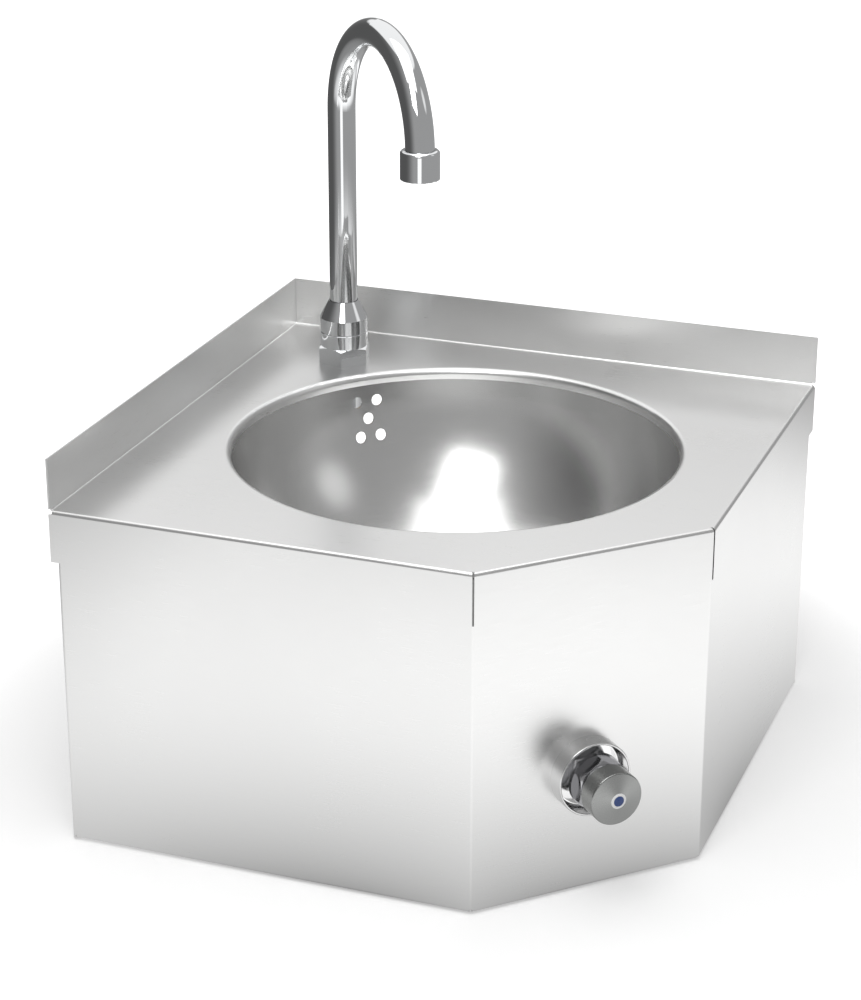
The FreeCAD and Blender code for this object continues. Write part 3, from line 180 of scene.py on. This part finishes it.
def paintedSlitShade(tree, place):
    # the mask of the painted slit shade: 1 on what lies in or behind the slits, at the two front corners
    x, y, z = separate(tree, place)
    depths = [
        math2(tree, "ADD", y, slits["side"]),
        math2(tree, "SUBTRACT", slits["side"], x),
        math2(tree, "MULTIPLY", math2(tree, "SUBTRACT", slits["cornerPanel"], math2(tree, "SUBTRACT", x, y)),
              math.sqrt(0.5)),
    ]
    depth = math2(tree, "MINIMUM", math2(tree, "MINIMUM", depths[0], depths[1]), depths[2])
    distances = []
    for cornerX, cornerY in slits["corners"]:
        square = math2(tree, "ADD", math2(tree, "POWER", math2(tree, "SUBTRACT", x, cornerX), 2),
                       math2(tree, "POWER", math2(tree, "SUBTRACT", y, cornerY), 2))
        distances.append(math2(tree, "SQRT", square))
    inside = math2(tree, "GREATER_THAN", depth, slits["behind"])
    for operation, value, limit in (
        ("LESS_THAN", math2(tree, "MINIMUM", *distances), slits["reach"]),
        ("LESS_THAN", z, slits["top"]),
        ("GREATER_THAN", z, slits["bottom"]),
    ):
        inside = math2(tree, "MULTIPLY", inside, math2(tree, operation, value, limit))
    return inside


satinSheet = {
    "dark": (0.80, 0.80, 0.795, 1), "light": (0.85, 0.85, 0.845, 1),
    "smooth": 0.27, "rough": 0.33,
    "along": 60, "across": 2200,      # the grain, in marks to the metre
    "cloud": 9, "cloudInColour": 0.35, "cloudInGloss": 0.4,
    "bump": 0.004, "bumpDepth": 0.00005,
    "level": 0.7,      # how far up a face looks that counts as level
}
satinBowl = {
    "dark": (0.71, 0.71, 0.705, 1), "light": (0.76, 0.76, 0.755, 1),
    "smooth": 0.20, "rough": 0.25,
    "round": 60, "across": 2200,
    "cloud": 14, "cloudInColour": 0.35, "cloudInGloss": 0.4,
    "bump": 0.006, "bumpDepth": 0.00005,
}


def brush(tree, shader, place, rows, grain):
    # what the sheet and the bowl share: colour, gloss and bump from the grain and a wide cloud
    cloud = noise(tree, place, (rows["cloud"],) * 3, detail=3.0)
    share = mixNumbers(tree, rows["cloudInColour"], grain, cloud)
    colour = mixColours(tree, share, rows["dark"], rows["light"])
    gloss = mixNumbers(tree, rows["cloudInGloss"], grain, cloud)
    rough = mapRange(tree, gloss, *noiseSpan, rows["smooth"], rows["rough"])
    tree.links.new(rough, shader.inputs["Roughness"])
    addBump(tree, shader, grain, rows["bump"], rows["bumpDepth"])
    return colour


def makeSatinSheet():
    # fine brushing: along the length of upright sheets, and along X on level ones
    material, tree, shader, place = newMaterial("satinSheet", 1)
    along, across = satinSheet["along"], satinSheet["across"]
    upright = noise(tree, place, (along, along, across))
    level = noise(tree, place, (along, across, along))
    up = separate(tree, tree.nodes.new("ShaderNodeNewGeometry").outputs["Normal"])[2]
    facingUp = math2(tree, "GREATER_THAN", math2(tree, "ABSOLUTE", up), satinSheet["level"])
    colour = brush(tree, shader, place, satinSheet, mixNumbers(tree, facingUp, upright, level))
    # painted shade: the sheet's colour is multiplied darker in and behind the slits
    shade = (slits["shade"], slits["shade"], slits["shade"], 1)
    colour = mixColours(tree, paintedSlitShade(tree, place), colour, shade, blend="MULTIPLY")
    tree.links.new(colour, shader.inputs["Base Color"])
    return material


def makeSatinBowl():
    # spun satin: the grain goes round the bowl's upright axis
    material, tree, shader, place = newMaterial("satinBowl", 1)
    x, y, z = separate(tree, mapped(tree, place, shift=-bowlMiddle))
    square = math2(tree, "ADD", math2(tree, "MULTIPLY", x, x), math2(tree, "MULTIPLY", y, y))
    radius = math2(tree, "SQRT", square)
    rings = tree.nodes.new("ShaderNodeCombineXYZ")
    for slot, value, marks in ((0, radius, "across"), (1, z, "across"), (2, x, "round")):
        tree.links.new(math2(tree, "MULTIPLY", value, satinBowl[marks]), rings.inputs[slot])
    colour = brush(tree, shader, place, satinBowl, noise(tree, rings.outputs[0]))
    tree.links.new(colour, shader.inputs["Base Color"])
    return material


# dark and light colour, smooth and rough, bump
turnedMetals = {
    "fixingSteel": ((0.5, 0.5, 0.49, 1), (0.6, 0.6, 0.59, 1), 0.25, 0.4, 0.08),
    "chrome": ((0.78, 0.79, 0.80, 1), (0.82, 0.83, 0.84, 1), 0.03, 0.055, 0.004),
    "satinChrome": ((0.56, 0.56, 0.56, 1), (0.62, 0.62, 0.62, 1), 0.16, 0.24, 0.02),
    "pushButton": ((0.27, 0.275, 0.27, 1), (0.32, 0.325, 0.32, 1), 0.22, 0.28, 0.02),
    "valveNut": ((0.40, 0.40, 0.41, 1), (0.46, 0.46, 0.47, 1), 0.10, 0.16, 0.006),
    "brass": ((0.62, 0.47, 0.24, 1), (0.72, 0.58, 0.33, 1), 0.2, 0.34, 0.05),
}
turnedSurface = {"marks": 700, "cloud": 35, "cloudInGloss": 0.5, "bumpDepth": 0.00002}
polymers = {
    "sealRubber": ((0.018, 0.018, 0.02, 1), (0.03, 0.03, 0.032, 1), 0.5, 0.7, 0.2),
    "greyPlastic": ((0.38, 0.39, 0.41, 1), (0.44, 0.45, 0.47, 1), 0.4, 0.55, 0.1),
    "whiteMark": ((0.82, 0.82, 0.82, 1), (0.88, 0.88, 0.88, 1), 0.2, 0.3, 0.02),
    "blueMark": ((0.012, 0.04, 0.17, 1), (0.016, 0.055, 0.22, 1), 0.2, 0.3, 0.02),
}
polymerSurface = {"skin": 900, "bumpDepth": 0.00005}


def makeTurnedMetal(name):
    # plated or turned metal: faint marks and small changes of gloss
    dark, light, smooth, rough, bump = turnedMetals[name]
    material, tree, shader, place = newMaterial(name, 1)
    marks = noise(tree, place, (turnedSurface["marks"],) * 3, detail=3.0)
    cloud = noise(tree, place, (turnedSurface["cloud"],) * 3)
    tree.links.new(mixColours(tree, cloud, dark, light), shader.inputs["Base Color"])
    gloss = mixNumbers(tree, turnedSurface["cloudInGloss"], marks, cloud)
    tree.links.new(mapRange(tree, gloss, *noiseSpan, smooth, rough), shader.inputs["Roughness"])
    addBump(tree, shader, marks, bump, turnedSurface["bumpDepth"])
    return material


def makePolymer(name):
    # moulded rubber or plastic with a fine skin
    dark, light, smooth, rough, bump = polymers[name]
    material, tree, shader, place = newMaterial(name, 0)
    skin = noise(tree, place, (polymerSurface["skin"],) * 3, detail=3.0)
    tree.links.new(mixColours(tree, skin, dark, light), shader.inputs["Base Color"])
    tree.links.new(mapRange(tree, skin, *noiseSpan, smooth, rough), shader.inputs["Roughness"])
    addBump(tree, shader, skin, bump, polymerSurface["bumpDepth"])
    return material


wallCup = {
    "dark": (0.68, 0.68, 0.68, 1), "light": (0.74, 0.74, 0.74, 1),
    "smooth": 0.22, "rough": 0.28, "cloud": 35,
    # inside the rim: the paler colour is painted brightness, and the lower roughness is the polish
    "inside": (0.93, 0.93, 0.93, 1), "insideRough": 0.12, "insideRadius": 0.0240,
}


def makeWallCup():
    # satin outside, and polished inside its rim, where the paler colour is painted brightness standing for
    # the light the inside reflects
    material, tree, shader, place = newMaterial("wallCup", 1)
    aside = vectorMath(tree, "CROSS_PRODUCT", vectorMath(tree, "SUBTRACT", place, valveMiddle), outward)
    inside = math2(tree, "LESS_THAN", vectorMath(tree, "LENGTH", aside), wallCup["insideRadius"])
    cloud = noise(tree, place, (wallCup["cloud"],) * 3)
    outside = mixColours(tree, cloud, wallCup["dark"], wallCup["light"])
    tree.links.new(mixColours(tree, inside, outside, wallCup["inside"]), shader.inputs["Base Color"])
    rough = mapRange(tree, cloud, *noiseSpan, wallCup["smooth"], wallCup["rough"])
    tree.links.new(mixNumbers(tree, inside, rough, wallCup["insideRough"]), shader.inputs["Roughness"])
    return material


slots = {row["node"]: row["material_slot"] for row in frame["record"]["subparts"]}
slotFinish = {
    "satin_steel": "satinSheet", "fixing_steel": "fixingSteel", "chrome": "chrome",
    "satin_chrome": "satinChrome", "brass": "brass", "seal_rubber": "sealRubber",
    "grey_plastic": "greyPlastic", "white_mark": "whiteMark", "blue_mark": "blueMark",
}
# nodes with a finish of their own
ownFinish = {
    "bowl": "satinBowl", "button_cap": "pushButton", "escutcheon": "wallCup",
    "mounting_nut": "valveNut", "bonnet": "valveNut",
}


def makeFinishes():
    made = {"satinSheet": makeSatinSheet(), "satinBowl": makeSatinBowl(), "wallCup": makeWallCup()}
    for name in turnedMetals:
        made[name] = makeTurnedMetal(name)
    for name in polymers:
        made[name] = makePolymer(name)
    for name, item in nodes.items():
        item.data.materials.clear()
        item.data.materials.append(made[ownFinish.get(name, slotFinish[slots[name]])])
    print("finishes given to", len(nodes), "nodes")
    return made


camera = {
    "place": (0.757563, -1.770616, 0.638627),
    "azimuth": 20.1154,
    "elevation": 22.1773,
    "roll": 0.0908,
    "lens": 96.085,
}


def placeCamera():
    data = bpy.data.cameras.new("camera")
    data.lens = camera["lens"]
    item = bpy.data.objects.new("camera", data)
    bpy.context.scene.collection.objects.link(item)
    turn = Matrix.Rotation(math.radians(camera["azimuth"]), 4, "Z")
    turn = turn @ Matrix.Rotation(math.radians(90 - camera["elevation"]), 4, "X")
    turn = turn @ Matrix.Rotation(math.radians(camera["roll"]), 4, "Z")
    item.matrix_world = Matrix.Translation(camera["place"]) @ turn
    bpy.context.scene.camera = item


studio = {
    "floorHeight": -0.2345,
    "floorSize": 9.0,
    "floorColour": (0.86, 0.86, 0.86, 1),
    "lift": 0.30,      # added for the camera alone, so that the open floor is white
    "liftFar": 1.0,
    "liftReach": (0.30, 0.62),
    "sky": 0.50,
    "backdrop": 1.0,      # what the camera sees past the floor
}
# the floor as the metal shows it: a pool of light round the basin, in shares of white
pool = {
    "near": 0.20,      # from the basin's middle, where the floor is darkest
    "full": 0.47,
    "curve": 0.6,
    "nearShare": 0.36,
    "share": 1.26,
    "end": 0.60,
    "gone": 1.30,
    "farShare": 0.40,
    "gainAzimuth": -40,      # the side where it is a little brighter
    "gainMiddle": 0.91,
    "gainSwing": 0.15,
    "left": (-0.40, 0.05),      # along X, where it fades towards the left
    "leftShare": 0.72,
    "behind": (-0.15, 0.15),      # along the diagonal into the wall corner, where it fades
    "behindAzimuth": 135,
    "behindShare": 0.40,
    "openReach": (0.95, 1.35),      # past this the metal shows the room instead
}
# paths of light on the floor: azimuth from the tap, half width where they start, spread, start, end
lightPaths = [
    (-70, 0.07, 0.26, 0.68, 2.0),
    (-103, 0.04, 0.05, 0.60, 1.20),
    (-20, 0.05, 0.08, 0.70, 1.15),
    (70, 0.05, 0.10, 0.40, 0.90),
]
pathEdge = {"aside": (0.7, 1.2), "start": 0.08, "end": 0.2}      # aside in shares of the half width
# the room as the metal shows it
room = {
    "grey": 0.37,
    "shade": 0.10,
    "shadeAzimuth": 178,
    "shadeEdge": (0.1, 0.9),
    "shadeLift": 0.08,
    "shadeHeight": (0.3, 0.8),      # where it lifts, as the sine of the elevation
}
# rounds of light in the room: azimuth, elevation, angle from middle to edge, softness, level
rounds = {
    "screen": (117, 62, 44, 3, 1.05),
    "glow": (108, -8, 15, 9, 1.05),
    "lantern": (13, 28, 8, 8, 0.95),
}


def direction3(azimuth, elevation=0):
    across, up = math.radians(azimuth), math.radians(elevation)
    return Vector((math.cos(across) * math.cos(up), math.sin(across) * math.cos(up), math.sin(up)))


def alongLine(tree, vector, azimuth):
    return vectorMath(tree, "DOT_PRODUCT", vector, direction3(azimuth))


def metalLooks(tree):
    # 1 for a ray that leaves metal or glass, and so for what they show
    path = tree.nodes.new("ShaderNodeLightPath")
    return path, math2(tree, "MAXIMUM", path.outputs["Is Glossy Ray"], path.outputs["Is Transmission Ray"])


def poolOfLight(tree, place, centred, reach):
    rising = mapRange(tree, reach, pool["near"], pool["full"], 0, 1, smooth=False)
    rise = mixNumbers(tree, math2(tree, "POWER", rising, pool["curve"]), pool["nearShare"], pool["share"])
    fall = mapRange(tree, reach, pool["end"], pool["gone"], 1, pool["farShare"])
    heading = vectorMath(tree, "NORMALIZE", centred)
    swing = math2(tree, "MULTIPLY", alongLine(tree, heading, pool["gainAzimuth"]), pool["gainSwing"])
    gain = math2(tree, "ADD", swing, pool["gainMiddle"])
    inward = alongLine(tree, place, pool["behindAzimuth"])
    behind = mapRange(tree, inward, *pool["behind"], 1, pool["behindShare"])
    left = mapRange(tree, alongLine(tree, place, 0), *pool["left"], pool["leftShare"], 1)
    sides = math2(tree, "MULTIPLY", behind, left)
    return math2(tree, "MULTIPLY", math2(tree, "MULTIPLY", rise, fall), math2(tree, "MULTIPLY", gain, sides))


def pathsOfLight(tree, place):
    fromTap = mapped(tree, place, shift=-tapAxis)
    total = 0
    for azimuth, half, spread, start, end in lightPaths:
        ahead = alongLine(tree, fromTap, azimuth)
        aside = math2(tree, "ABSOLUTE", alongLine(tree, fromTap, azimuth + 90))
        widening = math2(tree, "MULTIPLY", math2(tree, "SUBTRACT", ahead, start), spread)
        aside = math2(tree, "DIVIDE", aside, math2(tree, "ADD", widening, half))
        across = mapRange(tree, aside, *pathEdge["aside"], 1, 0)
        begins = mapRange(tree, ahead, start - pathEdge["start"], start + pathEdge["start"], 0, 1)
        ends = mapRange(tree, ahead, end - pathEdge["end"], end + pathEdge["end"], 1, 0)
        path = math2(tree, "MULTIPLY", across, math2(tree, "MULTIPLY", begins, ends))
        total = math2(tree, "MAXIMUM", total, path)
    return total


def mixShaders(tree, share, first, second):
    node = tree.nodes.new("ShaderNodeMixShader")
    for slot, value in enumerate((share, first, second)):
        tree.links.new(value, node.inputs[slot])
    return node.outputs[0]


def glowing(tree, strength):
    node = tree.nodes.new("ShaderNodeEmission")
    tree.links.new(strength, node.inputs["Strength"])
    return node.outputs[0]


def makeFloor():
    bpy.ops.mesh.primitive_plane_add(
        size=studio["floorSize"], location=(bowlMiddle.x, bowlMiddle.y, studio["floorHeight"]),
    )
    floor = bpy.context.object
    floor.name = "floor"
    bpy.ops.object.transform_apply(location=True, rotation=True, scale=True)
    material = bpy.data.materials.new("floor")
    material.use_nodes = True
    tree = material.node_tree
    tree.nodes.remove(tree.nodes["Principled BSDF"])
    lightPath, metal = metalLooks(tree)
    place = tree.nodes.new("ShaderNodeTexCoord").outputs["Object"]
    centred = mapped(tree, place, shift=-bowlMiddle, stretch=(1, 1, 0))
    reach = vectorMath(tree, "LENGTH", centred)
    # what the camera and the dull surfaces see: a plain floor that keeps the shadow
    plain = tree.nodes.new("ShaderNodeBsdfDiffuse")
    plain.inputs["Color"].default_value = studio["floorColour"]
    lifted = mapRange(tree, reach, *studio["liftReach"], studio["lift"], studio["liftFar"])
    seen = tree.nodes.new("ShaderNodeAddShader")
    tree.links.new(plain.outputs[0], seen.inputs[0])
    tree.links.new(
        glowing(tree, math2(tree, "MULTIPLY", lightPath.outputs["Is Camera Ray"], lifted)), seen.inputs[1],
    )
    # what the metal shows
    paths = pathsOfLight(tree, place)
    lit = glowing(tree, mixNumbers(tree, paths, poolOfLight(tree, place, centred, reach), pool["share"]))
    opened = mapRange(tree, reach, *pool["openReach"], 0, 1)
    opened = math2(tree, "MULTIPLY", opened, math2(tree, "SUBTRACT", 1, paths))
    clear = tree.nodes.new("ShaderNodeBsdfTransparent").outputs[0]
    mirrored = mixShaders(tree, opened, lit, clear)
    surface = mixShaders(tree, metal, seen.outputs[0], mirrored)
    tree.links.new(surface, tree.nodes["Material Output"].inputs["Surface"])
    floor.data.materials.append(material)


def roundOfSky(tree, direction, azimuth, elevation, angle, soft, level):
    facing = vectorMath(tree, "DOT_PRODUCT", direction, direction3(azimuth, elevation))
    edges = [math.cos(math.radians(angle + soft)), math.cos(math.radians(angle - soft))]
    return mapRange(tree, facing, *edges, 0, level)


def makeSky():
    world = bpy.data.worlds.new("studio")
    bpy.context.scene.world = world
    world.use_nodes = True
    tree = world.node_tree
    background = tree.nodes["Background"]
    background.inputs["Color"].default_value = (1, 1, 1, 1)
    lightPath, metal = metalLooks(tree)
    direction = tree.nodes.new("ShaderNodeTexCoord").outputs["Generated"]
    height = separate(tree, direction)[2]
    shade = mapRange(tree, height, *room["shadeHeight"], room["shade"], room["shade"] + room["shadeLift"])
    shaded = mapRange(tree, alongLine(tree, direction, room["shadeAzimuth"]), *room["shadeEdge"], 0, 1)
    level = mixNumbers(tree, shaded, room["grey"], shade)
    for values in rounds.values():
        level = math2(tree, "MAXIMUM", level, roundOfSky(tree, direction, *values))
    level = mixNumbers(tree, metal, studio["sky"], level)
    level = mixNumbers(tree, lightPath.outputs["Is Camera Ray"], level, studio["backdrop"])
    tree.links.new(level, background.inputs["Strength"])


lampTarget = Vector((0.12, -0.12, 0.18))
lamps = {
    # azimuth from +X and elevation as seen from the basin, roll, distance, width, height, watts
    "keySoftbox": (-76, 43, -14, 1.2, 0.54, 0.74, 5.2),
    "topSoftbox": (-70, 79, 0, 0.85, 0.86, 0.86, 3.3),
}


def placeLamps():
    for name, (azimuth, elevation, roll, distance, width, height, watts) in lamps.items():
        data = bpy.data.lights.new(name, "AREA")
        data.shape = "RECTANGLE"
        data.size, data.size_y, data.energy = width, height, watts
        lamp = bpy.data.objects.new(name, data)
        bpy.context.scene.collection.objects.link(lamp)
        away = direction3(azimuth, elevation)
        turn = away.to_track_quat("Z", "Y").to_matrix().to_4x4() @ Matrix.Rotation(math.radians(roll), 4, "Z")
        lamp.matrix_world = Matrix.Translation(lampTarget + away * distance) @ turn
        lamp.visible_camera = False
    print("lamps placed:", len(lamps))


def pick(item):
    bpy.ops.object.select_all(action="DESELECT")
    item.select_set(True)
    bpy.context.view_layer.objects.active = item


def applyPlace():
    bpy.ops.object.transform_apply(location=True, rotation=True, scale=True)


def beginEdit(item):
    pick(item)
    bpy.ops.object.mode_set(mode="EDIT")
    bpy.ops.mesh.select_all(action="SELECT")


def endEdit():
    # leaves the object at the origin, with its place in its mesh
    bpy.ops.mesh.select_all(action="SELECT")
    bpy.ops.mesh.normals_make_consistent(inside=False)
    bpy.ops.object.mode_set(mode="OBJECT")
    applyPlace()


def useModifier(item, kind, **settings):
    modifier = item.modifiers.new(kind.lower(), kind)
    for name, value in settings.items():
        setattr(modifier, name, value)
    pick(item)
    bpy.ops.object.modifier_apply(modifier=modifier.name)


def dress(item, name, node, smoothUnder=35):
    # names a new piece, and gives it the node's finish and body
    item.name = name
    pick(item)
    bpy.ops.object.shade_smooth_by_angle(angle=math.radians(smoothUnder))
    item.data.materials.clear()
    item.data.materials.append(finishes[slotFinish[slots[node]]])
    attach(item, "basin")


def turnUp(rings, sides=48):
    # a turned solid on the Z axis: a disc, then extruded and scaled ring by ring
    (radius, height), rest = rings[0], rings[1:]
    bpy.ops.object.select_all(action="DESELECT")
    bpy.ops.mesh.primitive_circle_add(
        vertices=sides, radius=radius, fill_type="NGON", location=(0, 0, height),
    )
    item = bpy.context.object
    applyPlace()
    beginEdit(item)
    for nextRadius, nextHeight in rest:
        bpy.ops.mesh.extrude_region_move(TRANSFORM_OT_translate={"value": (0, 0, nextHeight - height)})
        ratio = nextRadius / radius
        bpy.ops.transform.resize(value=(ratio, ratio, 1))
        radius, height = nextRadius, nextHeight
    endEdit()
    return item


def cutRecess(item, sizes, middle):
    bpy.ops.object.select_all(action="DESELECT")
    bpy.ops.mesh.primitive_cube_add(size=1, location=middle)
    cutter = bpy.context.object
    beginEdit(cutter)
    bpy.ops.transform.resize(value=sizes)
    endEdit()
    useModifier(item, "BOOLEAN", object=cutter, operation="DIFFERENCE", solver="EXACT")
    bpy.data.objects.remove(cutter)


# node that carries the thread, middle, radius, lowest and highest turn, pitch
threads = {
    "inletThread": ("valve_body", (0.31934, -0.32358), 0.01048, -0.1905, -0.1785, 0.001814),
    "wasteThread": ("waste_cup", (0.2, -0.2), 0.02095, -0.2018, -0.1760, 0.002309),
    "shankThread": ("tap_base", (0.0665, -0.0665), 0.012, -0.0540, -0.0135, 0.0015),
}
threadShape = {"half": 0.42, "proud": 0.16, "stepsPerTurn": 48}      # half width and height, in pitches
mergeReach = 1e-6


def makeThread(name):
    # a flattened diamond, screwed up the thread's length
    node, middle, radius, low, high, pitch = threads[name]
    steps = threadShape["stepsPerTurn"]
    bpy.ops.object.select_all(action="DESELECT")
    bpy.ops.mesh.primitive_circle_add(
        vertices=4, radius=threadShape["half"] * pitch, fill_type="NOTHING",
        location=(radius, 0, low), rotation=(math.radians(90), 0, 0),
    )
    thread = bpy.context.object
    applyPlace()
    beginEdit(thread)
    bpy.ops.transform.resize(value=(threadShape["proud"] / threadShape["half"], 1, 1))
    bpy.ops.object.mode_set(mode="OBJECT")
    useModifier(
        thread, "SCREW", angle=math.tau, screw_offset=pitch, iterations=int((high - low) / pitch),
        steps=steps, render_steps=steps,
    )
    beginEdit(thread)
    bpy.ops.mesh.remove_doubles(threshold=mergeReach)
    bpy.ops.mesh.fill_holes(sides=0)
    bpy.ops.mesh.select_all(action="SELECT")
    bpy.ops.transform.translate(value=(*middle, 0))
    endEdit()
    dress(thread, name, node)


wasteScrew = {
    "tip": -0.1710, "chamfer": 0.0006, "shank": 0.003,
    "neck": -0.1358, "head": 0.005, "top": -0.1340, "headEdge": 0.0002,
    "slotWide": 0.0014, "slotDeep": 0.0011,
}


def makeWasteScrew():
    rows = wasteScrew
    screw = turnUp([
        (rows["shank"] - rows["chamfer"], rows["tip"]),
        (rows["shank"], rows["tip"] + rows["chamfer"]),
        (rows["shank"], rows["neck"]),
        (rows["head"], rows["top"] - rows["headEdge"]),
        (rows["head"] - rows["headEdge"], rows["top"]),
    ])
    cutRecess(screw, (3 * rows["head"], rows["slotWide"], 2 * rows["slotDeep"]), (0, 0, rows["top"]))
    beginEdit(screw)
    bpy.ops.transform.translate(value=bowlMiddle)
    endEdit()
    dress(screw, "wasteScrew", "waste_screw", smoothUnder=30)
    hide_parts("waste_screw")


flangeScrew = {
    "shank": 0.0025, "length": 0.0052, "chamfer": 0.0005,
    "head": 0.0045, "cap": 0.003, "crown": 0.0035, "headStep": 0.0001,
    "headEdges": ((1, 0.45), (0.93, 0.78)),      # shares of the head's radius and of the cap's height
    "cross": 0.0038, "crossWide": 0.0009, "crossDeep": 0.0016,
    "fromWall": 0.0052, "alongWall": 0.382, "heights": (-0.170, -0.090),
}


def makeFlangeScrew(place, turn):
    rows = flangeScrew
    edges = [(share * rows["head"], rise * rows["cap"]) for share, rise in rows["headEdges"]]
    screw = turnUp([
        (rows["shank"] - rows["chamfer"], -rows["length"]),
        (rows["shank"], -rows["length"] + rows["chamfer"]),
        (rows["shank"], 0), (rows["head"], rows["headStep"]), *edges, (rows["crown"], rows["cap"]),
    ], sides=32)
    for sizes in ((rows["cross"], rows["crossWide"]), (rows["crossWide"], rows["cross"])):
        cutRecess(screw, (*sizes, 2 * rows["crossDeep"]), (0, 0, rows["cap"]))
    screw.rotation_euler = [math.radians(angle) for angle in turn]
    screw.location = place
    pick(screw)
    applyPlace()
    return screw


def makeFlangeScrews():
    near, far = flangeScrew["fromWall"], flangeScrew["alongWall"]
    screws = []
    for height in flangeScrew["heights"]:
        screws.append(makeFlangeScrew((near, -far, height), (0, 90, 0)))
        screws.append(makeFlangeScrew((far, -near, height), (90, 0, 0)))
    pick(screws[0])
    for screw in screws[1:]:
        screw.select_set(True)
    bpy.ops.object.join()
    dress(screws[0], "flangeScrews", "flange_screws", smoothUnder=30)
    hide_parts("flange_screws")


def makeReturnSpring():
    # the coil of the imported model, copied and merged
    pick(nodes["return_spring"])
    bpy.ops.object.duplicate()
    bpy.ops.object.parent_clear(type="CLEAR_KEEP_TRANSFORM")
    spring = bpy.context.object
    beginEdit(spring)
    bpy.ops.mesh.remove_doubles(threshold=mergeReach)
    bpy.ops.object.mode_set(mode="OBJECT")
    spring.name = "returnSpring"
    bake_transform(spring)
    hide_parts("return_spring")


bpy.ops.object.select_all(action="DESELECT")
bpy.context.scene.view_settings.view_transform = "Standard"
placeCamera()
makeFloor()
makeSky()
print("camera, floor and sky in place")
placeLamps()
finishes = makeFinishes()
for threadName in threads:
    makeThread(threadName)
makeWasteScrew()
makeFlangeScrews()
makeReturnSpring()
print("threads, screws and spring made:", len(threads) + 3)
